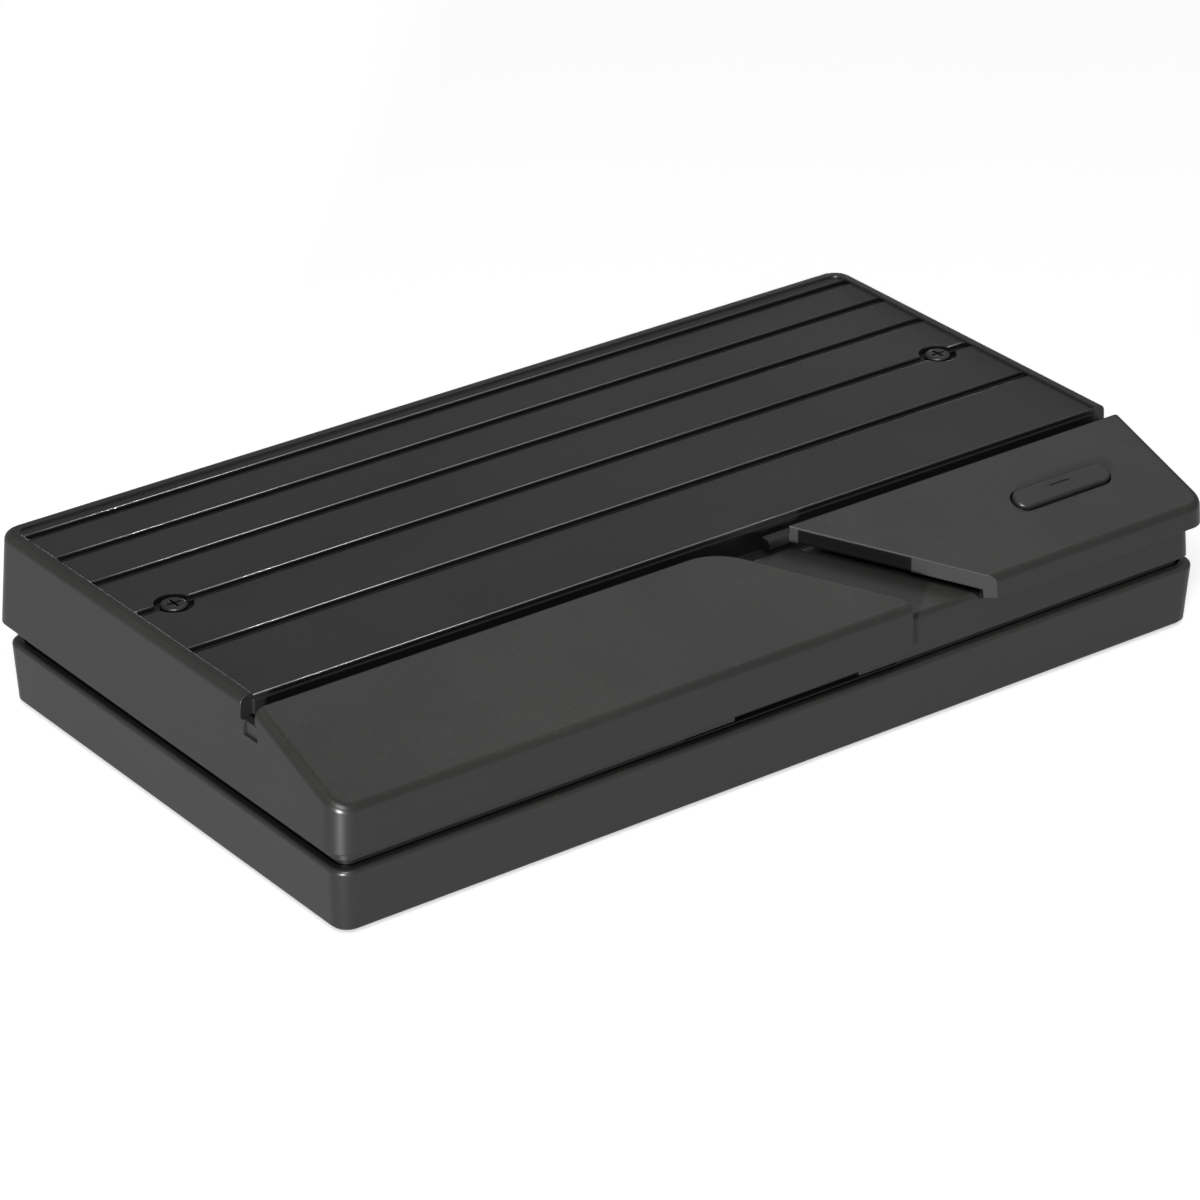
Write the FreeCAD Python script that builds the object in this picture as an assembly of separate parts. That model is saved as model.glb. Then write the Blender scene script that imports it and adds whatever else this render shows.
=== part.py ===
import FreeCAD, Part
import math
import os

# Satellite television receiver: a flat moulded case on rubber feet, holding a tuner, a main board
# and a small front board. Millimetres, +X to the right seen from the front, +Y to the back, +Z up.
# The case is drawn about its own centre and moved at the end, so that the origin lies under the
# middle of the whole object, sockets included, on the surface that it stands on.

V = FreeCAD.Vector

# Case, overall
CASE_WIDTH = 222.0
CASE_DEPTH = 124.0
CORNER_R = 5.0
DRAFT_DEG = 3.0
WALL = 2.0

# Heights of the stacked mouldings
FOOT_STAND = 1.2
TRAY_HEIGHT = 13.7
WAIST_GAP = 4.5
COVER_HEIGHT = 20.1
DECK_DROP = 0.4
DECK_THICK = 3.0

# Bottom tray
TRAY_INSET = 1.5
TRAY_FLOOR = 2.0
TRAY_CHAMFER = 0.6
TRAY_TOP_R = 0.9
TRAY_LEDGE_DEPTH = 2.9
TRAY_SLOT_LENGTH = 34.0
TRAY_SLOT_WIDTH = 2.0
TRAY_SLOT_PITCH = 7.0
TRAY_SLOT_COUNT = 6
TRAY_SLOT_X = 56.0

# Front hood and raised wing, which share one sloping plane
HOOD_FRONT_HEIGHT = 9.8
HOOD_FRONT_SETBACK = 0.5
HOOD_CREST_BACK = 0.5
HOOD_SKIN = 2.4
HOOD_EDGE_R = 2.0
RIM_EDGE_R = 1.7
HOOD_REAR_WALL = 1.6
HOOD_TIP_REACH = 29.2
HOOD_REAR_R = 17.0
HOOD_TIP_R = 2.0
DIAGONAL_DEG = 41.0
WING_LENGTH = 91.0
TRENCH_WIDTH = 19.3
WING_PLATE = 3.6
WING_LIP_BOTTOM = 4.9
WING_LIP_WALL = 2.0
WING_TAB_LENGTH = 5.0
WING_TAB_DEPTH = 2.4
WING_TAB_DROP = 1.7
WING_TAB_THICK = 2.2
WING_PAD = 6.0
WING_PAD_SIDE = 9.0
WING_PAD_FRONT = 7.0
WING_PAD_BACK = 3.4
WING_PAD_LEFT = 42.0

# Channel between the deck and the hood
CHANNEL_WIDTH = 5.1
CHANNEL_DEPTH = 6.0
CHANNEL_FLOOR = 2.0
NOTCH_DEPTH = 3.9
RELIEF_DEPTH = 0.3
RELIEF_HEIGHT = 3.4

# Deck slats, from the back: the front edge of the first slat, then the widths of the next ones
FIRST_SLAT_BACK = 6.7
SLAT_PITCHES = [12.0, 13.4, 16.1, 19.0]
DECK_FRONT_BACK = 33.5
RIM_WIDTH = 2.8
GROOVE_WIDTH = 2.4
GROOVE_DEPTH = 2.2
GROOVE_LEDGE = 0.5
GROOVE_LEDGE_DROP = 1.0
SLAT_EDGE_R = 0.4
VENT_WIDTH = 1.2
VENT_LENGTH = 20.0
VENT_GAP = 5.0

# Cover screws, sunk in the fourth groove
COVER_SCREW_SIDE = 12.6
COVER_SCREW_RECESS_R = 4.1
COVER_SCREW_RECESS_DEPTH = 1.5
COVER_SCREW_HEAD_R = 2.8
COVER_SCREW_HEAD_H = 1.6
COVER_SCREW_SHANK_R = 1.5
COVER_SCREW_LENGTH = 10.0
COVER_SCREW_WELL_DEPTH = 2.3
SCREW_FIT = 0.15

# Mid frame: the recessed band between tray and cover, and the shelf under the hood
FRAME_INSET = 2.5
FRAME_WALL = 1.8
WAIST_INSET = 4.0
FRAME_EDGE_DROP = 2.8
FRAME_EDGE_THICK = 1.3
SHELF_DROP = 4.8
SHELF_SKIN = 1.6
SHELF_POCKET = 1.2
SHELF_EDGE_R = 1.4
CARD_NOTCH_X = 2.0
CARD_NOTCH_WIDTH = 32.0
CARD_NOTCH_HEIGHT = 2.3
CARD_SLOT_WIDTH = 54.6
CARD_SLOT_HEIGHT = 1.1

# Running and seating clearances
FIT = 0.3
PIN_FIT = 0.05

# Feet and case screws
FOOT_R = 5.0
FOOT_SINK = 0.8
FOOT_SIDE = 19.0
FOOT_END = 16.0
CASE_SCREW_EDGE = 11.5
CASE_BOSS_R = 3.2
CASE_POST_HEIGHT = 8.0
CASE_SCREW_HEAD_R = 2.6
CASE_SCREW_HEAD_H = 1.4
CASE_SCREW_LENGTH = 16.0
CASE_SCREW_SHANK_R = 1.3

# Main board
BOARD_SIDE_GAP = 4.3
BOARD_FRONT_GAP = 15.0
BOARD_BACK_GAP = 0.5
BOARD_THICK = 1.6
BOARD_STAND = 6.0
BOARD_HOLE_EDGE = 6.0
BOARD_HOLE_BACK = 44.0
BOARD_BOSS_R = 3.0
BOARD_SCREW_R = 1.3
BOARD_SCREW_HEAD_R = 2.5
BOARD_SCREW_HEAD_H = 1.6
BOARD_SCREW_LENGTH = 5.5

# Rear panel and the window it shows through
PANEL_THICK = 1.2
WINDOW_SIDE = 15.0
WINDOW_TOP = 12.0
PANEL_OVERLAP = 3.5
PANEL_HOLE_FIT = 0.3

# Sockets on the back: centre of each along X, and outer sizes
AERIAL_SPACING = 24.0
AERIAL_R = 4.76
AERIAL_REACH = 10.0
AERIAL_HEIGHT = 8.6
AERIAL_BORE_R = 1.0
AERIAL_BORE_DEPTH = 8.0
AERIAL_COLLAR_R = 6.2
AERIAL_COLLAR_LENGTH = 1.5
NUT_FLATS = 12.7
NUT_THICK = 2.4
AERIAL_GROOVE = 0.6
TUNER_WIDTH = 52.0
TUNER_DEPTH = 34.0
TUNER_HEIGHT = 15.0
TUNER_SHEET = 0.5
LAN_SIZE = (16.2, 16.0, 13.4)
LAN_MOUTH = (11.8, 11.0, 8.2)
HDMI_SIZE = (15.2, 12.0, 6.2)
HDMI_SHEET = 0.6
HDMI_TONGUE = (10.6, 6.5, 1.0)
USB_SIZE = (14.4, 14.0, 7.2)
USB_SHEET = 0.7
USB_TONGUE = (11.0, 9.0, 1.8)
OPTICAL_SIZE = (10.6, 13.0, 11.0)
OPTICAL_MOUTH = (8.4, 9.0, 8.8)
SHUTTER_THICK = 0.8
SHUTTER_BARREL_R = 0.6
SHUTTER_PIN_R = 0.4
SHUTTER_GAP = 0.15
SERVICE_SIZE = (8.0, 6.0, 3.0)
SERVICE_SHEET = 0.4
SERVICE_TONGUE = (4.0, 4.0, 0.6)
JACK_SIZE = (9.0, 14.0, 11.0)
JACK_BORE_R = 3.2
JACK_BORE_DEPTH = 9.5
JACK_PIN_R = 1.0
JACK_PIN_LENGTH = 8.5

# Parts on the main board
CHIP_SIZE = (23.0, 23.0, 1.8)
CHIP_LEFT = 14.0
CHIP_GAP = 1.4
PAD_THICK = 0.5
SINK_SIZE = (36.0, 32.0, 2.5)
SINK_FIN_HEIGHT = 9.0
SINK_FIN_THICK = 1.2
SINK_FIN_COUNT = 9
MEMORY_SIZE = (10.0, 8.0, 1.0)
MEMORY_OFFSET = 27.0
COIL_SIZE = (7.0, 7.0, 3.4)
COIL_EDGE = 8.0
COIL_BACK = 26.0
COIL_PITCH = 10.0
COIL_COUNT = 3
CAP_R = 3.1
CAP_HEIGHT = 7.5
CAP_BACK = 36.0
CAP_PITCH = 10.0
CAP_COUNT = 3
READER_SIZE = (61.0, 52.0, 6.4)
READER_GAP = 0.8
READER_LIP = 1.2

# Front board under the wing, in the plane of the slope
FRONT_BOARD_LEFT = 24.0
FRONT_BOARD_SIDE = 11.0
FRONT_BOARD_START = 8.5
FRONT_BOARD_DEPTH = 14.0
FRONT_BOARD_THICK = 1.2
FRONT_BOARD_DROP = 4.0
FRONT_BOSS_R = 2.4
FRONT_BOSS_INSET = 3.5
FRONT_BOSS_LEFT = 16.0
FRONT_SCREW_HEAD_R = 2.0
FRONT_SCREW_HEAD_H = 1.2
FRONT_SCREW_SOCKET_R = 1.2
FRONT_SCREW_BITE = 2.5
SWITCH_SIZE = 6.0
PLUNGER_R = 1.5
PLUNGER_SINK = 1.6
PLUNGER_SHOW = 0.9
INDICATOR_SIZE = (3.2, 1.6, 1.2)
INDICATOR_LEFT = 27.5
INDICATOR_RUN = 11.0
INDICATOR_WINDOW = 3.0
IR_SIZE = (6.0, 5.0, 3.0)
IR_LEFT = 32.5
IR_RUN = 18.0
RIBBON_WIDTH = 12.0
RIBBON_THICK = 0.3
RIBBON_SIDE = 41.0
RIBBON_SOCKET = (15.0, 4.0, 2.0)

# Power button in the wing
BUTTON_SIDE = 28.6
BUTTON_RUN = 16.2
BUTTON_LENGTH = 25.4
BUTTON_WIDTH = 5.4
BUTTON_GAP = 0.35
BUTTON_PROUD = 0.9
BUTTON_EDGE_R = 0.45
BUTTON_TRAVEL = 0.5
BUTTON_SKIN = 1.6
BUTTON_FLANGE = 1.0
BUTTON_FLANGE_LIP = 0.9
BUTTON_STEM_R = 1.6
BUTTON_MARK_LENGTH = 5.4
BUTTON_MARK_WIDTH = 0.35
BUTTON_MARK_DEPTH = 0.2

# Status light bar in the diagonal end of the wing
BAR_LENGTH = 25.0
BAR_DEPTH = 2.0
BAR_SKIN = 0.5
BAR_RECESS = 0.25

# Aerial boards for wireless, flat on the inside of the frame
WIFI_LENGTH = 30.0
WIFI_HEIGHT = 9.0
WIFI_THICK = 0.8
WIFI_Y = -2.0

# Heights worked out from the sizes above
TRAY_BOTTOM_Z = FOOT_STAND
TRAY_TOP_Z = TRAY_BOTTOM_Z + TRAY_HEIGHT
COVER_BOTTOM_Z = TRAY_TOP_Z + WAIST_GAP
RIM_TOP_Z = COVER_BOTTOM_Z + COVER_HEIGHT
DECK_Z = RIM_TOP_Z - DECK_DROP
DECK_UNDER_Z = DECK_Z - DECK_THICK
FLOOR_Z = TRAY_BOTTOM_Z + TRAY_FLOOR
LEDGE_Z = TRAY_TOP_Z - TRAY_LEDGE_DEPTH
FRAME_LOW_Z = COVER_BOTTOM_Z - FRAME_EDGE_DROP
BOARD_Z = FLOOR_Z + BOARD_STAND
BOARD_TOP_Z = BOARD_Z + BOARD_THICK
CHANNEL_FLOOR_Z = DECK_Z - CHANNEL_DEPTH
CHANNEL_UNDER_Z = CHANNEL_FLOOR_Z - CHANNEL_FLOOR
NOTCH_Z = DECK_Z - NOTCH_DEPTH
WINDOW_TOP_Z = COVER_BOTTOM_Z + WINDOW_TOP

# Places along X and Y worked out from the sizes above
HALF_W = CASE_WIDTH / 2
HALF_D = CASE_DEPTH / 2
FIRST_SLAT_EDGE = HALF_D - FIRST_SLAT_BACK
DECK_FRONT_Y = -HALF_D + DECK_FRONT_BACK
CHANNEL_FRONT_Y = DECK_FRONT_Y - CHANNEL_WIDTH
SLOPE_FRONT_Y = -HALF_D + HOOD_FRONT_SETBACK
SLOPE_FRONT_Z = COVER_BOTTOM_Z + HOOD_FRONT_HEIGHT
HOOD_RUN = CHANNEL_FRONT_Y - HOOD_CREST_BACK - SLOPE_FRONT_Y
SLOPE_DEG = math.degrees(math.atan2(DECK_Z - SLOPE_FRONT_Z, HOOD_RUN))
SLOPE_COS = math.cos(math.radians(SLOPE_DEG))
DRAFT = math.tan(math.radians(DRAFT_DEG))
WING_REAR_X = HALF_W - WING_LENGTH
HOOD_REAR_X = WING_REAR_X - TRENCH_WIDTH
HOOD_FRONT_X = HOOD_REAR_X + HOOD_TIP_REACH
BUTTON_X = HALF_W - BUTTON_SIDE
COVER_SCREW_X = HALF_W - COVER_SCREW_SIDE
FOOT_X = HALF_W - FOOT_SIDE
FOOT_Y = HALF_D - FOOT_END
CASE_SCREW_X = HALF_W - CASE_SCREW_EDGE
CASE_SCREW_Y = HALF_D - CASE_SCREW_EDGE
WINDOW_WIDTH = CASE_WIDTH - 2 * WINDOW_SIDE
INNER_INSET = FRAME_INSET + FRAME_WALL
PANEL_Y = HALF_D - INNER_INSET
BOARD_WIDTH = 2 * (CASE_SCREW_X - CASE_BOSS_R - BOARD_SIDE_GAP)
BOARD_FRONT_Y = -HALF_D + BOARD_FRONT_GAP
BOARD_BACK_Y = PANEL_Y - PANEL_THICK - BOARD_BACK_GAP
BOARD_HOLE_X = BOARD_WIDTH / 2 - BOARD_HOLE_EDGE
BOARD_HOLE_FRONT_Y = BOARD_FRONT_Y + BOARD_HOLE_EDGE
BOARD_HOLE_BACK_Y = BOARD_BACK_Y - BOARD_HOLE_BACK
READER_FRONT_Y = -HALF_D + WAIST_INSET + FRAME_WALL + READER_GAP
CHIP_CENTRE = (-CHIP_LEFT, READER_FRONT_Y + READER_SIZE[1] + CHIP_GAP + SINK_SIZE[1] / 2)
FRONT_BOARD_X = (WING_REAR_X + FRONT_BOARD_LEFT, HALF_W - FRONT_BOARD_SIDE)
FRONT_BOARD_RUN = (FRONT_BOARD_START, FRONT_BOARD_START + FRONT_BOARD_DEPTH)
FRONT_BOSS_X = [FRONT_BOARD_X[0] + FRONT_BOSS_LEFT, FRONT_BOARD_X[1] - FRONT_BOSS_INSET]
FRONT_BOSS_RUN = FRONT_BOARD_RUN[1] - FRONT_BOSS_INSET
INDICATOR_PLACE = (WING_REAR_X + INDICATOR_LEFT, INDICATOR_RUN)
IR_PLACE = (WING_REAR_X + IR_LEFT, IR_RUN)
RIBBON_X = HALF_W - RIBBON_SIDE
SWITCH_HEIGHT = FRONT_BOARD_DROP - FIT
ORIGIN_SHIFT = -(PANEL_Y + AERIAL_REACH - HALF_D) / 2
FAR = 400.0

# Sockets stand side by side behind the window, with equal gaps between them
SOCKET_ROW = [USB_SIZE, USB_SIZE, LAN_SIZE, HDMI_SIZE, SERVICE_SIZE, OPTICAL_SIZE, JACK_SIZE, (TUNER_WIDTH,)]
SOCKET_GAP = (WINDOW_WIDTH - sum(size[0] for size in SOCKET_ROW)) / (len(SOCKET_ROW) + 1)


def socket_centre(index):
    """X of the middle of one place in the row of sockets, counted from the left."""
    before = sum(size[0] for size in SOCKET_ROW[:index])
    return -WINDOW_WIDTH / 2 + SOCKET_GAP * (index + 1) + before + SOCKET_ROW[index][0] / 2


USB_X = [socket_centre(0), socket_centre(1)]
LAN_X = socket_centre(2)
HDMI_X = socket_centre(3)
SERVICE_X = socket_centre(4)
OPTICAL_X = socket_centre(5)
JACK_X = socket_centre(6)
AERIAL_X = [socket_centre(7) - AERIAL_SPACING / 2, socket_centre(7) + AERIAL_SPACING / 2]


# Plane outlines and simple solids

def case_block(inset_low, inset_high, z_low, z_high):
    """Solid between two plan outlines, straight sided or drafted, its upright edges rounded."""
    w0 = HALF_W - inset_low
    d0 = HALF_D - inset_low
    w1 = HALF_W - inset_high
    d1 = HALF_D - inset_high
    block = Part.makeWedge(-w0, z_low, -d0, -d1, -w1, w0, z_high, d0, d1, w1)
    block.rotate(V(0, 0, 0), V(1, 0, 0), 90)
    upright = [e for e in block.Edges if abs(e.Vertexes[0].Z - e.Vertexes[1].Z) > (z_high - z_low) / 2]
    r = max(CORNER_R - (inset_low + inset_high) * 0.3, 1.0)
    return block.makeFillet(r, upright)


def straight_block(inset, z_low, z_high):
    return case_block(inset, inset, z_low, z_high)


def box(x0, x1, y0, y1, z0, z1):
    return Part.makeBox(x1 - x0, y1 - y0, z1 - z0, V(x0, y0, z0))


def centred_box(size, x, y0, z0):
    """Box centred on x, running back from y0 and up from z0."""
    return Part.makeBox(size[0], size[1], size[2], V(x - size[0] / 2, y0, z0))


def rod(r, length, x, y, z, direction=V(0, 0, 1)):
    return Part.makeCylinder(r, length, V(x, y, z), direction)


def prism(points, z0, z1):
    """Upright solid over a plan polygon."""
    wire = Part.makePolygon([V(x, y, z0) for x, y in points + points[:1]])
    return Part.Face(wire).extrude(V(0, 0, z1 - z0))


def on_slope(shape):
    """Move a shape from the slope's own frame: X across, Y up the slope, Z square out of it."""
    shape.Placement = FreeCAD.Placement(
        V(0, SLOPE_FRONT_Y, SLOPE_FRONT_Z), FreeCAD.Rotation(V(1, 0, 0), SLOPE_DEG)
    ).multiply(shape.Placement)
    return shape


def above_slope(drop):
    """Everything above the hood's plane lowered by drop."""
    slab = Part.makeBox(2 * FAR, 2 * FAR, FAR, V(-FAR, -FAR, -drop * SLOPE_COS))
    return on_slope(slab)


def below_slope(drop):
    """Everything below the hood's plane lowered by drop."""
    slab = Part.makeBox(2 * FAR, 2 * FAR, FAR, V(-FAR, -FAR, -drop * SLOPE_COS - FAR))
    return on_slope(slab)


def pill(length, width, z0, z1):
    """Flat bar with round ends, about the Z axis."""
    r = width / 2
    h = (length - width) / 2
    edges = [
        Part.LineSegment(V(-h, -r, z0), V(h, -r, z0)).toShape(),
        Part.Arc(V(h, -r, z0), V(h + r, 0, z0), V(h, r, z0)).toShape(),
        Part.LineSegment(V(h, r, z0), V(-h, r, z0)).toShape(),
        Part.Arc(V(-h, r, z0), V(-h - r, 0, z0), V(-h, -r, z0)).toShape(),
    ]
    return Part.Face(Part.Wire(edges)).extrude(V(0, 0, z1 - z0))


def hex_prism(flats, length, x, y, z):
    """Six sided bar along +Y."""
    r = flats / math.sqrt(3)
    pts = []
    for i in range(7):
        a = math.radians(60 * i + 30)
        pts.append(V(x + r * math.cos(a), y, z + r * math.sin(a)))
    return Part.Face(Part.makePolygon(pts)).extrude(V(0, length, 0))


def edges_on_plane(shape, test):
    return [e for e in shape.Edges if all(test(v.Point) for v in e.Vertexes)]


# Plan lines of the front

def diagonal_x(x_start, y):
    """X of a diagonal that leaves the channel's front edge at x_start and runs to the right."""
    return x_start + (CHANNEL_FRONT_Y - y) / math.tan(math.radians(DIAGONAL_DEG))


def hood_plan(inset, z0, z1):
    """Upright solid over the hood's plan, drawn in from its rear and diagonal edges by inset."""
    slant = math.radians(DIAGONAL_DEG)
    rear_y = CHANNEL_FRONT_Y - inset
    shift = inset / math.sin(slant) - inset / math.tan(slant)
    corner_x = HOOD_REAR_X - shift
    tip_x = HOOD_FRONT_X - inset
    tip_y = rear_y - (tip_x - corner_x) * math.tan(slant)
    turn = HOOD_REAR_R * math.tan(slant / 2)
    a = V(corner_x - turn, rear_y, z0)
    b = V(corner_x + turn * math.cos(slant), rear_y - turn * math.sin(slant), z0)
    centre = V(corner_x - turn, rear_y - HOOD_REAR_R, z0)
    mid = centre + V(math.sin(slant / 2), math.cos(slant / 2), 0) * HOOD_REAR_R
    tip = HOOD_TIP_R * math.tan((math.pi / 2 - slant) / 2)
    c = V(tip_x - tip * math.cos(slant), tip_y + tip * math.sin(slant), z0)
    d = V(tip_x, tip_y - tip, z0)
    tip_centre = V(tip_x - HOOD_TIP_R, tip_y - tip, z0)
    bend = (math.pi / 2 - slant) / 2
    tip_mid = tip_centre + V(math.cos(bend), math.sin(bend), 0) * HOOD_TIP_R
    e = V(tip_x, -HALF_D - WALL, z0)
    f = V(-HALF_W - WALL, -HALF_D - WALL, z0)
    g = V(-HALF_W - WALL, rear_y, z0)
    edges = [
        Part.LineSegment(g, a).toShape(),
        Part.Arc(a, mid, b).toShape(),
        Part.LineSegment(b, c).toShape(),
        Part.Arc(c, tip_mid, d).toShape(),
        Part.LineSegment(d, e).toShape(),
        Part.LineSegment(e, f).toShape(),
        Part.LineSegment(f, g).toShape(),
    ]
    return Part.Face(Part.Wire(edges)).extrude(V(0, 0, z1 - z0))


def wing_plan(z0, z1):
    """Upright solid over the wing's plan: right of its diagonal, in front of the channel."""
    front = -HALF_D - WALL
    points = [
        (WING_REAR_X, CHANNEL_FRONT_Y),
        (diagonal_x(WING_REAR_X, front), front),
        (HALF_W + WALL, front),
        (HALF_W + WALL, CHANNEL_FRONT_Y),
    ]
    return prism(points, z0, z1)


def cover_block():
    """Drafted outer form of the cover, before anything is cut from it."""
    return case_block(0.0, COVER_HEIGHT * DRAFT, COVER_BOTTOM_Z, RIM_TOP_Z)


def front_form():
    """Outer form of hood and wing: the cover's block cut by the slope, its crest rounded."""
    block = cover_block().cut(above_slope(0.0))
    normal = V(0, -math.sin(math.radians(SLOPE_DEG)), SLOPE_COS)
    anchor = V(0, SLOPE_FRONT_Y, SLOPE_FRONT_Z)
    crest = []
    for face in block.Faces:
        n = face.normalAt(0, 0)
        if abs(n.dot(normal)) > 0.9999 and abs((face.CenterOfMass - anchor).dot(normal)) < 0.01:
            rear = max(v.Point.y for v in face.Vertexes) - 0.01
            for edge in face.Edges:
                if min(v.Point.y for v in edge.Vertexes) < rear:
                    crest.append(edge)
    return block.makeFillet(HOOD_EDGE_R, crest)


def slat_edges():
    """Y of the front edge of every slat but the last."""
    edges = [FIRST_SLAT_EDGE]
    for pitch in SLAT_PITCHES:
        edges.append(edges[-1] - pitch)
    return edges


def groove_section(y, width, depth):
    """Section of one groove: rounded slat edge, short face, ledge, then the slot."""
    k = SLAT_EDGE_R * (1 - math.sqrt(0.5))
    top = DECK_Z
    over = DECK_DROP + 1.0
    pts = [
        V(0, y - width, top + over),
        V(0, y + SLAT_EDGE_R, top + over),
        V(0, y + SLAT_EDGE_R, top),
        V(0, y, top - SLAT_EDGE_R),
        V(0, y, top - GROOVE_LEDGE_DROP),
        V(0, y - GROOVE_LEDGE, top - GROOVE_LEDGE_DROP),
        V(0, y - GROOVE_LEDGE, top - depth),
        V(0, y - width, top - depth),
    ]
    edges = []
    for i, p in enumerate(pts):
        q = pts[(i + 1) % len(pts)]
        if i == 2:
            edges.append(Part.Arc(p, V(0, y + k, top - k), q).toShape())
        else:
            edges.append(Part.LineSegment(p, q).toShape())
    return Part.Face(Part.Wire(edges))


def screw_solid(head_r, head_h, shank_r, length, socket_r):
    """Pan-head screw, head top at Z = 0, cross recess sunk in it."""
    head = rod(head_r, head_h, 0, 0, -head_h)
    head = head.makeFillet(head_h * 0.4, edges_on_plane(head, lambda p: p.z > -head_h * 0.1))
    shank = rod(shank_r, length, 0, 0, -head_h - length)
    shank = shank.makeChamfer(shank_r * 0.4, edges_on_plane(shank, lambda p: p.z < -head_h - length * 0.9))
    slot_w = socket_r * 0.34
    slot_d = head_h * 0.6
    cross = box(-socket_r, socket_r, -slot_w / 2, slot_w / 2, -slot_d, 1.0)
    cross = cross.fuse(box(-slot_w / 2, slot_w / 2, -socket_r, socket_r, -slot_d, 1.0))
    return head.fuse(shank).removeSplitter().cut(cross)


def placed(shape, x, y, z, flip=False):
    """Copy of a shape at a place, turned upside down if asked."""
    copy = shape.copy()
    turn = FreeCAD.Rotation(V(1, 0, 0), 180 if flip else 0)
    copy.Placement = FreeCAD.Placement(V(x, y, z), turn)
    return copy


# Case mouldings

def case_screw_places():
    return [(sx * CASE_SCREW_X, sy * CASE_SCREW_Y) for sx in (-1, 1) for sy in (-1, 1)]


def cover_screw_places():
    y = slat_edges()[3] - GROOVE_WIDTH / 2
    return [(-COVER_SCREW_X, y), (COVER_SCREW_X, y)]


def board_screw_places():
    return [(sx * BOARD_HOLE_X, y) for sx in (-1, 1) for y in (BOARD_HOLE_FRONT_Y, BOARD_HOLE_BACK_Y)]


def foot_places():
    return [(sx * FOOT_X, sy * FOOT_Y) for sx in (-1, 1) for sy in (-1, 1)]


def rear_window(y0, z0, z1):
    return box(-WINDOW_WIDTH / 2, WINDOW_WIDTH / 2, y0, HALF_D + WALL, z0, z1)


def bottom_tray():
    low_inset = TRAY_INSET + TRAY_HEIGHT * DRAFT
    shell = case_block(low_inset, TRAY_INSET, TRAY_BOTTOM_Z, TRAY_TOP_Z)
    shell = shell.makeChamfer(TRAY_CHAMFER, edges_on_plane(shell, lambda p: p.z < TRAY_BOTTOM_Z + 0.01))
    shell = shell.makeFillet(TRAY_TOP_R, edges_on_plane(shell, lambda p: p.z > TRAY_TOP_Z - 0.01))
    ledge_inset = WAIST_INSET + FRAME_WALL
    shell = shell.cut(straight_block(TRAY_INSET + WALL, LEDGE_Z, TRAY_TOP_Z + 1))
    shell = shell.cut(straight_block(ledge_inset, FLOOR_Z, LEDGE_Z + 1))
    shell = shell.cut(rear_window(HALF_D - ledge_inset - PANEL_THICK, FLOOR_Z, TRAY_TOP_Z + 1))
    boss_top = LEDGE_Z
    for x, y in case_screw_places():
        shell = shell.fuse(rod(CASE_BOSS_R, boss_top - FLOOR_Z, x, y, FLOOR_Z))
    for x, y in board_screw_places():
        shell = shell.fuse(rod(BOARD_BOSS_R, BOARD_STAND, x, y, FLOOR_Z))
    for x, y in case_screw_places():
        shell = shell.cut(rod(CASE_SCREW_SHANK_R + SCREW_FIT, boss_top, x, y, 0))
        head_pocket = CASE_SCREW_HEAD_H + FIT
        shell = shell.cut(rod(CASE_SCREW_HEAD_R + FIT, head_pocket, x, y, TRAY_BOTTOM_Z))
    for x, y in board_screw_places():
        shell = shell.cut(rod(BOARD_SCREW_R, BOARD_STAND, x, y, FLOOR_Z + 0.5))
    for x, y in foot_places():
        shell = shell.cut(rod(FOOT_R, FOOT_SINK, x, y, TRAY_BOTTOM_Z))
    for side in (-1, 1):
        for i in range(TRAY_SLOT_COUNT):
            y = (i - (TRAY_SLOT_COUNT - 1) / 2) * TRAY_SLOT_PITCH
            slot = pill(TRAY_SLOT_LENGTH, TRAY_SLOT_WIDTH, TRAY_BOTTOM_Z - 1, FLOOR_Z + 1)
            shell = shell.cut(placed(slot, side * TRAY_SLOT_X, y, 0))
    return shell.removeSplitter()


def frame_bosses():
    """Posts that the case screws come up into, each with a web out to the frame's wall."""
    top = LEDGE_Z + CASE_POST_HEIGHT
    posts = []
    for x, y in case_screw_places():
        side = 1 if x > 0 else -1
        reach = side * (HALF_W - WAIST_INSET - FRAME_WALL / 2)
        web_x = sorted((x, reach))
        post = rod(CASE_BOSS_R, CASE_POST_HEIGHT, x, y, LEDGE_Z)
        posts.append(post.fuse(box(web_x[0], web_x[1], y - 1.0, y + 1.0, LEDGE_Z, top)))
    return posts


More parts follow.
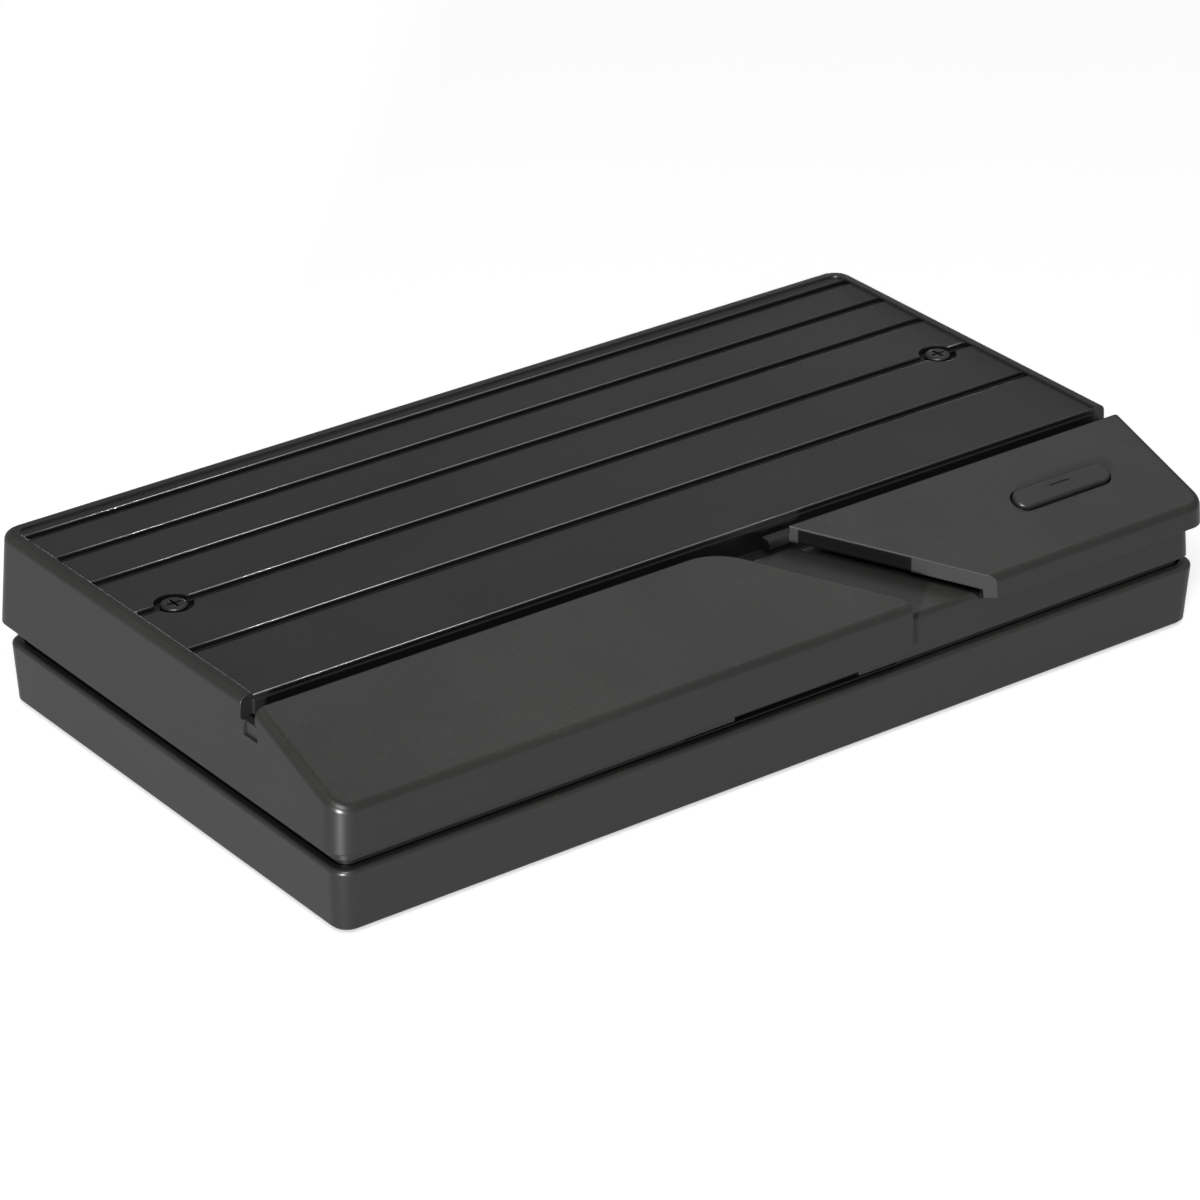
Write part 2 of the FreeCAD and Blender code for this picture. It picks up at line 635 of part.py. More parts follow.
def mid_frame():
    top = DECK_UNDER_Z
    lean = (top - FRAME_LOW_Z) * DRAFT
    band = case_block(FRAME_INSET, FRAME_INSET + lean, FRAME_LOW_Z, top)
    band = band.cut(above_slope(SHELF_DROP).cut(box(-FAR, FAR, CHANNEL_FRONT_Y - FIT, FAR, -FAR, FAR)))
    rounded = []
    for edge in band.Edges:
        low = min(v.Point.z for v in edge.Vertexes)
        front = max(v.Point.y for v in edge.Vertexes)
        if front < CHANNEL_FRONT_Y - 1 and low > FRAME_LOW_Z + 1 and len(edge.Vertexes) == 2:
            flat = abs(edge.Vertexes[0].Point.z - edge.Vertexes[1].Point.z) < 0.01
            if flat and edge.Length > CASE_WIDTH / 2:
                rounded.append(edge)
    band = band.makeFillet(SHELF_EDGE_R, rounded)
    hollow = case_block(INNER_INSET, INNER_INSET + lean, FRAME_LOW_Z, top)
    hollow = hollow.fuse(straight_block(INNER_INSET + lean, top - 1, top + 1))
    panel_half = WINDOW_WIDTH / 2 + PANEL_OVERLAP
    hollow = hollow.fuse(box(-panel_half, panel_half, 0, PANEL_Y, FRAME_LOW_Z, top + 1))
    hollow = hollow.cut(box(-FAR, FAR, -FAR, FAR, 0, FRAME_LOW_Z + FRAME_EDGE_THICK))
    skin = SHELF_DROP + SHELF_SKIN / SLOPE_COS
    under_pocket = skin + SHELF_POCKET
    front_zone = box(-FAR, FAR, -FAR, CHANNEL_FRONT_Y - FIT - WALL, -FAR, FAR)
    rear_zone = box(-FAR, FAR, CHANNEL_FRONT_Y - FIT - WALL, FAR, -FAR, FAR)
    wing_zone = wing_plan(0, FAR)
    keep_thick = hollow.common(front_zone).common(wing_zone).common(below_slope(under_pocket))
    keep_thin = hollow.common(front_zone).cut(wing_zone).common(below_slope(skin))
    shelf_end = box(-FAR, FAR, CHANNEL_FRONT_Y - FIT - WALL, CHANNEL_FRONT_Y - FIT, CHANNEL_UNDER_Z - FIT, FAR)
    keep_rear = hollow.common(rear_zone).cut(shelf_end)
    band = band.cut(keep_thick).cut(keep_thin).cut(keep_rear)
    band = band.cut(wing_plan(0, FAR).common(above_slope(SHELF_DROP + SHELF_POCKET)))
    under_channel = box(-FAR, FAR, CHANNEL_FRONT_Y - FIT, DECK_FRONT_Y + WALL + FIT, CHANNEL_UNDER_Z, FAR)
    band = band.cut(under_channel)
    hood_wall = box(-FAR, HOOD_REAR_X + 3 * FIT, CHANNEL_FRONT_Y - HOOD_REAR_WALL - FIT,
                    CHANNEL_FRONT_Y, CHANNEL_UNDER_Z, FAR)
    band = band.cut(hood_wall)
    floor_hole = straight_block(WAIST_INSET + FRAME_WALL, FRAME_LOW_Z - 1, FRAME_LOW_Z + FRAME_EDGE_THICK + 1)
    band = band.cut(floor_hole)
    waist = straight_block(WAIST_INSET, LEDGE_Z, FRAME_LOW_Z)
    waist = waist.cut(straight_block(WAIST_INSET + FRAME_WALL, LEDGE_Z - 1, FRAME_LOW_Z + 1))
    frame = band.fuse(waist)
    for post in frame_bosses():
        frame = frame.fuse(post)
    for x, y in case_screw_places():
        frame = frame.cut(rod(CASE_SCREW_SHANK_R, CASE_SCREW_LENGTH + 1, x, y, LEDGE_Z - 1))
    for x, y in cover_screw_places():
        post = rod(CASE_BOSS_R, DECK_UNDER_Z - FRAME_LOW_Z, x, y, FRAME_LOW_Z)
        side = 1 if x > 0 else -1
        reach = HALF_W - FRAME_INSET - FRAME_WALL / 2
        web_x = sorted((x, side * reach))
        web = box(web_x[0], web_x[1], y - 1.0, y + 1.0, FRAME_LOW_Z, DECK_UNDER_Z)
        frame = frame.fuse(post).fuse(web)
        depth = COVER_SCREW_LENGTH + 1
        frame = frame.cut(rod(COVER_SCREW_SHANK_R, depth, x, y, DECK_UNDER_Z - depth))
    frame = frame.cut(rear_window(HALF_D - WAIST_INSET - FRAME_WALL - 1, 0, WINDOW_TOP_Z))
    frame = frame.cut(card_notch())
    frame = frame.cut(card_slot(-HALF_D, -HALF_D + WAIST_INSET + FRAME_WALL + 1))
    for boss in front_bosses():
        frame = frame.fuse(boss)
    frame = frame.cut(button_stem_hole()).cut(indicator_window())
    return frame.removeSplitter()


def card_notch():
    """Finger notch in the frame's lower front edge, over the card slot."""
    x0 = CARD_NOTCH_X - CARD_NOTCH_WIDTH / 2
    top = FRAME_LOW_Z + CARD_NOTCH_HEIGHT
    back = -HALF_D + WAIST_INSET
    return box(x0, x0 + CARD_NOTCH_WIDTH, -HALF_D, back, FRAME_LOW_Z - 0.5, top)


def card_slot(y0, y1):
    x0 = CARD_NOTCH_X - CARD_SLOT_WIDTH / 2
    z0 = TRAY_TOP_Z + FIT
    return box(x0, x0 + CARD_SLOT_WIDTH, y0, y1, z0, z0 + CARD_SLOT_HEIGHT)


def top_cover():
    block = cover_block()
    rim = block.makeFillet(RIM_EDGE_R, edges_on_plane(block, lambda p: p.z > RIM_TOP_Z - 0.01))
    rear = rim.common(box(-FAR, FAR, DECK_FRONT_Y, FAR, 0, FAR))
    strip = block.common(box(-FAR, FAR, CHANNEL_FRONT_Y, DECK_FRONT_Y, 0, NOTCH_Z))
    hood = front_form().common(hood_plan(0.0, 0, FAR))
    cover = rear.fuse(strip).fuse(hood).removeSplitter()
    inner = case_block(WALL, WALL + COVER_HEIGHT * DRAFT, COVER_BOTTOM_Z, RIM_TOP_Z)
    inner = inner.fuse(straight_block(WALL, COVER_BOTTOM_Z - 1, COVER_BOTTOM_Z))
    back_zone = box(-FAR, FAR, DECK_FRONT_Y + WALL, FAR, 0, DECK_UNDER_Z)
    under_zone = box(-FAR, FAR, CHANNEL_FRONT_Y - HOOD_REAR_WALL, DECK_FRONT_Y + WALL, 0, CHANNEL_UNDER_Z)
    slot_zone = box(-FAR, FAR, CHANNEL_FRONT_Y, DECK_FRONT_Y, CHANNEL_FLOOR_Z, FAR)
    cavities = [
        inner.common(back_zone),
        inner.common(under_zone),
        inner.common(slot_zone),
        inner.common(hood_plan(HOOD_REAR_WALL, 0, FAR)).common(below_slope(HOOD_SKIN)),
        inner.common(hood_plan(0.0, 0, FAR)).common(box(-FAR, FAR, -FAR, CHANNEL_FRONT_Y - HOOD_REAR_WALL, 0, FAR))
        .common(below_slope(SHELF_DROP)),
    ]
    for cavity in cavities:
        cover = cover.cut(cavity)
    cover = cover.cut(side_relief())
    recess_side = COVER_HEIGHT * DRAFT + RIM_WIDTH
    recess = straight_block(recess_side, DECK_Z, RIM_TOP_Z + 1)
    cover = cover.cut(recess.common(box(-FAR, FAR, DECK_FRONT_Y - 1, FAR, 0, FAR)))
    half = HALF_W - recess_side
    for y in slat_edges():
        groove = groove_section(y, GROOVE_WIDTH, GROOVE_DEPTH).extrude(V(2 * half, 0, 0))
        groove.translate(V(-half, 0, 0))
        cover = cover.cut(groove)
    front_edge = groove_section(DECK_FRONT_Y, 2.0, CHANNEL_DEPTH - 1).extrude(V(2 * half, 0, 0))
    front_edge.translate(V(-half, 0, 0))
    cover = cover.cut(front_edge.common(box(-FAR, FAR, DECK_FRONT_Y, FAR, 0, FAR)))
    lip = box(-half, half, DECK_FRONT_Y - GROOVE_LEDGE, DECK_FRONT_Y, CHANNEL_FLOOR_Z, DECK_Z - GROOVE_LEDGE_DROP)
    cover = cover.fuse(lip)
    cover = cover.cut(vent_slots(half))
    for x, y in cover_screw_places():
        cover = cover.cut(rod(COVER_SCREW_RECESS_R, RIM_TOP_Z, x, y, DECK_Z - COVER_SCREW_RECESS_DEPTH))
        well_z = DECK_Z - COVER_SCREW_RECESS_DEPTH
        cover = cover.cut(rod(COVER_SCREW_HEAD_R + FIT, RIM_TOP_Z, x, y, well_z))
        cover = cover.cut(rod(COVER_SCREW_SHANK_R + SCREW_FIT, RIM_TOP_Z, x, y, 0))
    cover = cover.cut(rear_window(HALF_D - FRAME_INSET - FRAME_WALL, 0, WINDOW_TOP_Z))
    return cover.removeSplitter()


def side_relief():
    """Shallow sunk patch in the left wall, just under the channel's end."""
    y0 = CHANNEL_FRONT_Y - 1.0
    y1 = DECK_FRONT_Y - 1.2
    z1 = NOTCH_Z + 0.5
    z0 = z1 - RELIEF_HEIGHT
    depth = RELIEF_DEPTH + (z1 - COVER_BOTTOM_Z) * DRAFT
    return box(-HALF_W - 1, -HALF_W + depth, y0, y1, z0, z1)


def vent_slots(half):
    """Slots through the floor of the grooves, in a row with solid bars between them."""
    pitch = VENT_LENGTH + VENT_GAP
    count = int((2 * half - VENT_GAP) // pitch)
    slots = []
    for row, y in enumerate(slat_edges()):
        mid = y - GROOVE_WIDTH + VENT_WIDTH / 2 + 0.2
        for i in range(count):
            x = (i - (count - 1) / 2) * pitch
            if row == 3 and abs(abs(x) - COVER_SCREW_X) < VENT_LENGTH / 2 + COVER_SCREW_RECESS_R + 1:
                continue
            y0 = mid - VENT_WIDTH / 2
            slots.append(box(x - VENT_LENGTH / 2, x + VENT_LENGTH / 2, y0, y0 + VENT_WIDTH, DECK_UNDER_Z - 1, DECK_Z))
    return Part.makeCompound(slots)


def light_bar_zone(grow):
    """Slot in the diagonal end of the wing that the light bar fills."""
    slant = math.radians(DIAGONAL_DEG)
    along = V(math.cos(slant), -math.sin(slant), 0)
    inward = V(math.sin(slant), math.cos(slant), 0)
    start = V(WING_REAR_X, CHANNEL_FRONT_Y, 0) + along * 2.0
    outer = start + inward * grow
    a = outer
    b = outer + along * (BAR_LENGTH - 2.0)
    c = b + inward * (BAR_DEPTH - grow)
    d = a + inward * (BAR_DEPTH - grow)
    zone = prism([(p.x, p.y) for p in (a, b, c, d)], 0, FAR)
    plate = below_slope(BAR_SKIN / SLOPE_COS).common(above_slope(WING_PLATE))
    return zone.common(plate)


def wing_seats():
    """Pads under the wing that stand on the shelf."""
    depth = (SHELF_DROP + SHELF_POCKET) * SLOPE_COS
    top = WING_PLATE * SLOPE_COS - 0.5
    pads = []
    left = WING_REAR_X + WING_PAD_LEFT
    right = HALF_W - WING_PAD_SIDE
    back = HOOD_RUN - WING_PAD_BACK
    half = WING_PAD / 2
    for x, run in ((left, WING_PAD_FRONT), (left, back), (right, WING_PAD_FRONT), (right, back)):
        pads.append(on_slope(box(x - half, x + half, run - half, run + half, -depth, -top)))
    return pads


def front_wing():
    form = front_form().common(wing_plan(0, FAR))
    lip_z = COVER_BOTTOM_Z + WING_LIP_BOTTOM
    form = form.common(box(-FAR, FAR, -FAR, FAR, lip_z, FAR))
    inner = case_block(WING_LIP_WALL, WING_LIP_WALL + COVER_HEIGHT * DRAFT, COVER_BOTTOM_Z, RIM_TOP_Z)
    wing = form.cut(inner.common(below_slope(WING_PLATE)))
    for pad in wing_seats():
        wing = wing.fuse(pad)
    tab_top = DECK_Z - WING_TAB_DROP
    tab = box(WING_REAR_X - WING_TAB_LENGTH, WING_REAR_X + 4.0, CHANNEL_FRONT_Y,
              CHANNEL_FRONT_Y + WING_TAB_DEPTH, tab_top - WING_TAB_THICK, tab_top)
    wing = wing.fuse(tab)
    wing = wing.cut(light_bar_zone(0.0))
    wing = wing.cut(button_hole())
    return wing.removeSplitter()


def status_light_bar():
    return light_bar_zone(BAR_RECESS)


# Power button and what it presses, in the slope's frame

def at_button(shape):
    shape.translate(V(BUTTON_X, BUTTON_RUN, 0))
    return on_slope(shape)


def flange_depths():
    """Top and bottom of the button's flange, below the slope's plane, with the button out."""
    top = -BUTTON_SKIN - PIN_FIT
    return top, top - BUTTON_FLANGE


def button_hole():
    through = pill(BUTTON_LENGTH + 2 * BUTTON_GAP, BUTTON_WIDTH + 2 * BUTTON_GAP, -FAR / 10, FAR / 10)
    flange = pill(BUTTON_LENGTH + 2 * BUTTON_FLANGE_LIP + 2 * FIT,
                  BUTTON_WIDTH + 2 * BUTTON_FLANGE_LIP + 2 * FIT, -FAR / 10, -BUTTON_SKIN)
    return at_button(through.fuse(flange))


def button_stem_hole():
    return at_button(rod(BUTTON_STEM_R + FIT, FAR / 10, 0, 0, -FAR / 10))


def stem_end():
    """Where the stem meets the switch's plunger, below the slope's plane."""
    return front_board_top() + SWITCH_HEIGHT + PLUNGER_SHOW


def power_button():
    top, bottom = flange_depths()
    cap = pill(BUTTON_LENGTH, BUTTON_WIDTH, top, BUTTON_PROUD)
    cap = cap.makeFillet(BUTTON_EDGE_R, edges_on_plane(cap, lambda p: p.z > BUTTON_PROUD - 0.01))
    flange = pill(BUTTON_LENGTH + 2 * BUTTON_FLANGE_LIP, BUTTON_WIDTH + 2 * BUTTON_FLANGE_LIP, bottom, top)
    stem = rod(BUTTON_STEM_R, bottom - stem_end(), 0, 0, stem_end())
    mark = box(-BUTTON_MARK_LENGTH / 2, BUTTON_MARK_LENGTH / 2, 0.6, 0.6 + BUTTON_MARK_WIDTH,
               BUTTON_PROUD - BUTTON_MARK_DEPTH, BUTTON_PROUD + 1)
    return at_button(cap.fuse(flange).fuse(stem).removeSplitter().cut(mark))


def shelf_under():
    """Underside of the shelf's sunk part, below the slope's plane, square to it."""
    return -(SHELF_DROP + SHELF_POCKET) * SLOPE_COS - SHELF_SKIN


def front_board_top():
    return shelf_under() - FRONT_BOARD_DROP


def tact_switch():
    base = front_board_top()
    half = SWITCH_SIZE / 2
    body = box(-half, half, -half, half, base, base + SWITCH_HEIGHT)
    body = body.cut(rod(PLUNGER_R + PIN_FIT, FAR / 10, 0, 0, base + SWITCH_HEIGHT - PLUNGER_SINK - BUTTON_TRAVEL - 0.2))
    return at_button(body)


def switch_plunger():
    top = stem_end()
    bottom = front_board_top() + SWITCH_HEIGHT - PLUNGER_SINK
    return at_button(rod(PLUNGER_R, top - bottom, 0, 0, bottom))


def front_bosses():
    bosses = []
    for x in FRONT_BOSS_X:
        post = rod(FRONT_BOSS_R, FRONT_BOARD_DROP + 0.5, x, FRONT_BOSS_RUN, front_board_top())
        bore = rod(BOARD_SCREW_R * 0.8, FRONT_BOARD_DROP - 0.3, x, FRONT_BOSS_RUN, front_board_top())
        bosses.append(on_slope(post.cut(bore)))
    return bosses


def front_board():
    top = front_board_top()
    x0, x1 = FRONT_BOARD_X
    y0, y1 = FRONT_BOARD_RUN
    board = box(x0, x1, y0, y1, top - FRONT_BOARD_THICK, top)
    for x in FRONT_BOSS_X:
        board = board.cut(rod(BOARD_SCREW_R, 10, x, FRONT_BOSS_RUN, top - 5))
    return on_slope(board)


def front_board_screws():
    under = front_board_top() - FRONT_BOARD_THICK
    length = FRONT_BOARD_THICK + FRONT_SCREW_BITE
    screw = screw_solid(FRONT_SCREW_HEAD_R, FRONT_SCREW_HEAD_H, BOARD_SCREW_R * 0.8, length, FRONT_SCREW_SOCKET_R)
    top = under - FRONT_SCREW_HEAD_H
    return Part.makeCompound([on_slope(placed(screw, x, FRONT_BOSS_RUN, top, True)) for x in FRONT_BOSS_X])


def status_led():
    x, run = INDICATOR_PLACE
    size = INDICATOR_SIZE
    return on_slope(box(x - size[0] / 2, x + size[0] / 2, run - size[1] / 2, run + size[1] / 2,
                        front_board_top(), front_board_top() + size[2]))


def indicator_window():
    x, run = INDICATOR_PLACE
    half = INDICATOR_WINDOW / 2
    low = front_board_top()
    return on_slope(box(x - half, x + half, run - half, run + half, low, -SHELF_DROP * SLOPE_COS + 2))


def infrared_receiver():
    x, run = IR_PLACE
    size = IR_SIZE
    top = front_board_top()
    body = box(x - size[0] / 2, x + size[0] / 2, run - size[1] / 2, run + size[1] / 2, top, top + size[2])
    lens = Part.makeSphere(1.6, V(x, run - size[1] / 2 + 0.6, top + size[2] / 2))
    lens = lens.common(box(x - 2, x + 2, run - size[1] / 2 - 3, run - size[1] / 2, top + 0.2, top + size[2] - 0.2))
    return on_slope(body.fuse(lens).removeSplitter())


def ribbon_places():
    """Y and Z of the ribbon's ends: under the front board, and on the main board."""
    frame = FreeCAD.Placement(V(0, SLOPE_FRONT_Y, SLOPE_FRONT_Z), FreeCAD.Rotation(V(1, 0, 0), SLOPE_DEG))
    under = front_board_top() - FRONT_BOARD_THICK - RIBBON_SOCKET[2]
    upper = frame.multVec(V(RIBBON_X, sum(FRONT_BOARD_RUN) / 2, under))
    lower = V(RIBBON_X, upper.y, BOARD_TOP_Z + RIBBON_SOCKET[2])
    return upper, lower


def ribbon_sockets():
    upper, lower = ribbon_places()
    w, d, h = RIBBON_SOCKET
    run = sum(FRONT_BOARD_RUN) / 2
    under = front_board_top() - FRONT_BOARD_THICK
    top = on_slope(box(RIBBON_X - w / 2, RIBBON_X + w / 2, run - d / 2, run + d / 2, under - h, under))
    low = centred_box(RIBBON_SOCKET, RIBBON_X, lower.y - d / 2, BOARD_TOP_Z)
    return Part.makeCompound([top, low])


def ribbon_cable():
    """Flat strip bowed between its two sockets."""
    upper, lower = ribbon_places()
    x0 = RIBBON_X - RIBBON_WIDTH / 2
    bow = 3.0
    mid_z = (upper.z + lower.z) / 2
    a = V(x0, upper.y, upper.z)
    b = V(x0, upper.y + bow, mid_z)
    c = V(x0, lower.y, lower.z)
    t = V(0, RIBBON_THICK, 0)
    edges = [
        Part.Arc(a, b, c).toShape(),
        Part.LineSegment(c, c + t).toShape(),
        Part.Arc(c + t, b + t, a + t).toShape(),
        Part.LineSegment(a + t, a).toShape(),
    ]
    strip = Part.Face(Part.Wire(edges)).extrude(V(RIBBON_WIDTH, 0, 0))
    tilt = on_slope(box(-FAR, FAR, -FAR, FAR, front_board_top() - FRONT_BOARD_THICK - RIBBON_SOCKET[2], FAR))
    return strip.cut(tilt)


# Main board and what stands on it

def main_board():
    board = box(-BOARD_WIDTH / 2, BOARD_WIDTH / 2, BOARD_FRONT_Y, BOARD_BACK_Y, BOARD_Z, BOARD_TOP_Z)
    for x, y in board_screw_places():
        board = board.cut(rod(BOARD_SCREW_R + SCREW_FIT, 10, x, y, BOARD_Z - 5))
    return board


def board_screws():
    screw = screw_solid(BOARD_SCREW_HEAD_R, BOARD_SCREW_HEAD_H, BOARD_SCREW_R, BOARD_SCREW_LENGTH, 1.5)
    return Part.makeCompound([placed(screw, x, y, BOARD_TOP_Z + BOARD_SCREW_HEAD_H) for x, y in board_screw_places()])


def on_board(size, x, y):
    return centred_box(size, x, y - size[1] / 2, BOARD_TOP_Z)


def processor():
    return on_board(CHIP_SIZE, CHIP_CENTRE[0], CHIP_CENTRE[1])


def thermal_pad():
    size = (CHIP_SIZE[0], CHIP_SIZE[1], PAD_THICK)
    return centred_box(size, CHIP_CENTRE[0], CHIP_CENTRE[1] - size[1] / 2, BOARD_TOP_Z + CHIP_SIZE[2])


def heat_sink():
    z0 = BOARD_TOP_Z + CHIP_SIZE[2] + PAD_THICK
    w, d, h = SINK_SIZE
    x0 = CHIP_CENTRE[0] - w / 2
    y0 = CHIP_CENTRE[1] - d / 2
    sink = box(x0, x0 + w, y0, y0 + d, z0, z0 + h)
    pitch = (w - SINK_FIN_THICK) / (SINK_FIN_COUNT - 1)
    for i in range(SINK_FIN_COUNT):
        x = x0 + i * pitch
        sink = sink.fuse(box(x, x + SINK_FIN_THICK, y0, y0 + d, z0 + h, z0 + h + SINK_FIN_HEIGHT))
    for sx, sy in ((-1, -1), (1, 1)):
        leg_x = CHIP_CENTRE[0] + sx * (w / 2 - 2.0)
        leg_y = CHIP_CENTRE[1] + sy * (d / 2 - 2.0)
        sink = sink.fuse(rod(1.2, z0 - BOARD_TOP_Z, leg_x, leg_y, BOARD_TOP_Z))
    return sink.removeSplitter()


def memory_chips():
    chips = []
    for i in (-1, 1):
        for j in (-1, 1):
            x = CHIP_CENTRE[0] + i * MEMORY_OFFSET
            chips.append(on_board(MEMORY_SIZE, x, CHIP_CENTRE[1] + j * MEMORY_SIZE[1]))
    return Part.makeCompound(chips)


def power_coils():
    coils = []
    for i in range(COIL_COUNT):
        x = -BOARD_WIDTH / 2 + COIL_EDGE + i * COIL_PITCH
        y = BOARD_BACK_Y - COIL_BACK
        coil = on_board(COIL_SIZE, x, y)
        coils.append(coil.makeFillet(0.6, [e for e in coil.Edges if e.CenterOfMass.z > BOARD_TOP_Z + 1]))
    return Part.makeCompound(coils)


def capacitors():
    cans = []
    for i in range(CAP_COUNT):
        x = -BOARD_WIDTH / 2 + COIL_EDGE + i * CAP_PITCH
        y = BOARD_BACK_Y - CAP_BACK
        can = rod(CAP_R, CAP_HEIGHT, x, y, BOARD_TOP_Z)
        top = edges_on_plane(can, lambda p: p.z > BOARD_TOP_Z + CAP_HEIGHT - 0.01)
        cans.append(can.makeFillet(0.5, top))
    return Part.makeCompound(cans)


def card_reader():
    """Card reader under the frame's front: a flat cage whose mouth lies behind the card slot."""
    w, d, h = READER_SIZE
    y0 = READER_FRONT_Y
    body = box(CARD_NOTCH_X - w / 2, CARD_NOTCH_X + w / 2, y0, y0 + d, BOARD_TOP_Z, BOARD_TOP_Z + h)
    body = body.cut(card_slot(y0 - 1, y0 + d - READER_LIP * 2))
    return body.cut(box(CARD_NOTCH_X - w / 4, CARD_NOTCH_X + w / 4, y0 - 1, y0 + 3.0,
                        BOARD_TOP_Z + h - READER_LIP, BOARD_TOP_Z + h + 1))


# Rear panel and sockets

def aerial_z():
    return BOARD_TOP_Z + AERIAL_HEIGHT


def socket_hole(size, x):
    grow = PANEL_HOLE_FIT
    return box(x - size[0] / 2 - grow, x + size[0] / 2 + grow, PANEL_Y - 5, PANEL_Y + 5,
               BOARD_TOP_Z - grow, BOARD_TOP_Z + size[2] + grow)


def board_sockets():
    """Outer size and X of each square socket that shows in the panel."""
    places = [(LAN_SIZE, LAN_X), (HDMI_SIZE, HDMI_X), (OPTICAL_SIZE, OPTICAL_X)]
    places += [(SERVICE_SIZE, SERVICE_X), (JACK_SIZE, JACK_X)]
    places += [(USB_SIZE, x) for x in USB_X]
    return places


def rear_panel():
    half = WINDOW_WIDTH / 2 + PANEL_OVERLAP
    low_half = WINDOW_WIDTH / 2 - FIT
    y0 = PANEL_Y - PANEL_THICK
    panel = box(-low_half, low_half, y0, PANEL_Y, FLOOR_Z, WINDOW_TOP_Z)
    frame_low = FRAME_LOW_Z + FRAME_EDGE_THICK + FIT
    panel = panel.fuse(box(-half, half, y0, PANEL_Y, frame_low, WINDOW_TOP_Z + PANEL_OVERLAP))
    for size, x in board_sockets():
        panel = panel.cut(socket_hole(size, x))
    for x in AERIAL_X:
        panel = panel.cut(rod(AERIAL_R + SCREW_FIT, 10, x, PANEL_Y - 5, aerial_z(), V(0, 1, 0)))
    return panel.removeSplitter()


def tuner_can():
    x0 = sum(AERIAL_X) / 2 - TUNER_WIDTH / 2
    y1 = PANEL_Y - PANEL_THICK - AERIAL_COLLAR_LENGTH
    y0 = y1 - TUNER_DEPTH
    can = box(x0, x0 + TUNER_WIDTH, y0, y1, BOARD_TOP_Z, BOARD_TOP_Z + TUNER_HEIGHT)
    upright = [e for e in can.Edges if abs(e.Vertexes[0].Z - e.Vertexes[1].Z) > 1]
    can = can.makeFillet(0.8, upright)
    s = TUNER_SHEET
    can = can.cut(box(x0 + s, x0 + TUNER_WIDTH - s, y0 + s, y1 - s, BOARD_TOP_Z - 1, BOARD_TOP_Z + TUNER_HEIGHT - s))
    lid_z = BOARD_TOP_Z + TUNER_HEIGHT
    can = can.fuse(box(x0 + 4, x0 + TUNER_WIDTH - 4, y0 + 4, y1 - 4, lid_z, lid_z + 0.4))
    return can.removeSplitter()


def aerial_socket(x):
    """Threaded aerial socket: collar on the tuner's wall, barrel through the panel."""
    y_can = PANEL_Y - PANEL_THICK - AERIAL_COLLAR_LENGTH
    back = V(0, 1, 0)
    collar = rod(AERIAL_COLLAR_R, AERIAL_COLLAR_LENGTH, x, y_can, aerial_z(), back)
    reach = AERIAL_COLLAR_LENGTH + PANEL_THICK + AERIAL_REACH
    barrel = rod(AERIAL_R, reach, x, y_can, aerial_z(), back)
    tip = PANEL_Y + AERIAL_REACH
    barrel = barrel.makeChamfer(0.5, edges_on_plane(barrel, lambda p: p.y > tip - 0.01))
    groove_y = PANEL_Y + NUT_THICK
    groove = rod(AERIAL_R + 1, AERIAL_GROOVE, x, groove_y, aerial_z(), back)
    barrel = barrel.cut(groove.cut(rod(AERIAL_R - AERIAL_GROOVE, AERIAL_GROOVE, x, groove_y, aerial_z(), back)))
    bore = rod(AERIAL_BORE_R, AERIAL_BORE_DEPTH, x, tip - AERIAL_BORE_DEPTH, aerial_z(), back)
    mouth = Part.makeCone(AERIAL_BORE_R, AERIAL_R - 1.6, 0.8, V(x, tip - 0.8, aerial_z()), back)
    return collar.fuse(barrel).removeSplitter().cut(bore).cut(mouth)


def aerial_nuts():
    nuts = []
    for x in AERIAL_X:
        nut = hex_prism(NUT_FLATS, NUT_THICK, x, PANEL_Y, aerial_z())
        round_off = Part.makeCone(NUT_FLATS / 2 + 1.2, NUT_FLATS / 2 - 0.1, NUT_THICK + 0.4,
                                  V(x, PANEL_Y - 0.2, aerial_z()), V(0, 1, 0))
        nut = nut.common(round_off)
        nuts.append(nut.cut(rod(AERIAL_R + PIN_FIT, 10, x, PANEL_Y - 2, aerial_z(), V(0, 1, 0))))
    return Part.makeCompound(nuts)


def shell_socket(size, x, sheet, tongue, tongue_lift):
    """Sheet-metal socket with a flat tongue, its mouth just outside the panel."""
    y1 = PANEL_Y + FIT
    y0 = y1 - size[1]
    body = centred_box(size, x, y0, BOARD_TOP_Z)
    upright = [e for e in body.Edges if abs(e.Vertexes[0].Y - e.Vertexes[1].Y) > 1]
    body = body.makeFillet(sheet * 0.8, upright)
    depth = size[1] - 2.5
    hollow = box(x - size[0] / 2 + sheet, x + size[0] / 2 - sheet, y1 - depth, y1 + 1,
                 BOARD_TOP_Z + sheet, BOARD_TOP_Z + size[2] - sheet)
    body = body.cut(hollow)
    z0 = BOARD_TOP_Z + tongue_lift
    blade = box(x - tongue[0] / 2, x + tongue[0] / 2, y1 - depth - 0.5, y1 - depth + tongue[1], z0, z0 + tongue[2])
    return body.fuse(blade).removeSplitter()


def hdmi_socket():
    return shell_socket(HDMI_SIZE, HDMI_X, HDMI_SHEET, HDMI_TONGUE, HDMI_SIZE[2] / 2 - HDMI_TONGUE[2] / 2)


def usb_sockets():
    lift = USB_SIZE[2] - USB_SHEET - 1.1 - USB_TONGUE[2]
    return Part.makeCompound([shell_socket(USB_SIZE, x, USB_SHEET, USB_TONGUE, lift) for x in USB_X])


def service_socket():
    lift = SERVICE_SIZE[2] / 2 - SERVICE_TONGUE[2] / 2
    return shell_socket(SERVICE_SIZE, SERVICE_X, SERVICE_SHEET, SERVICE_TONGUE, lift)


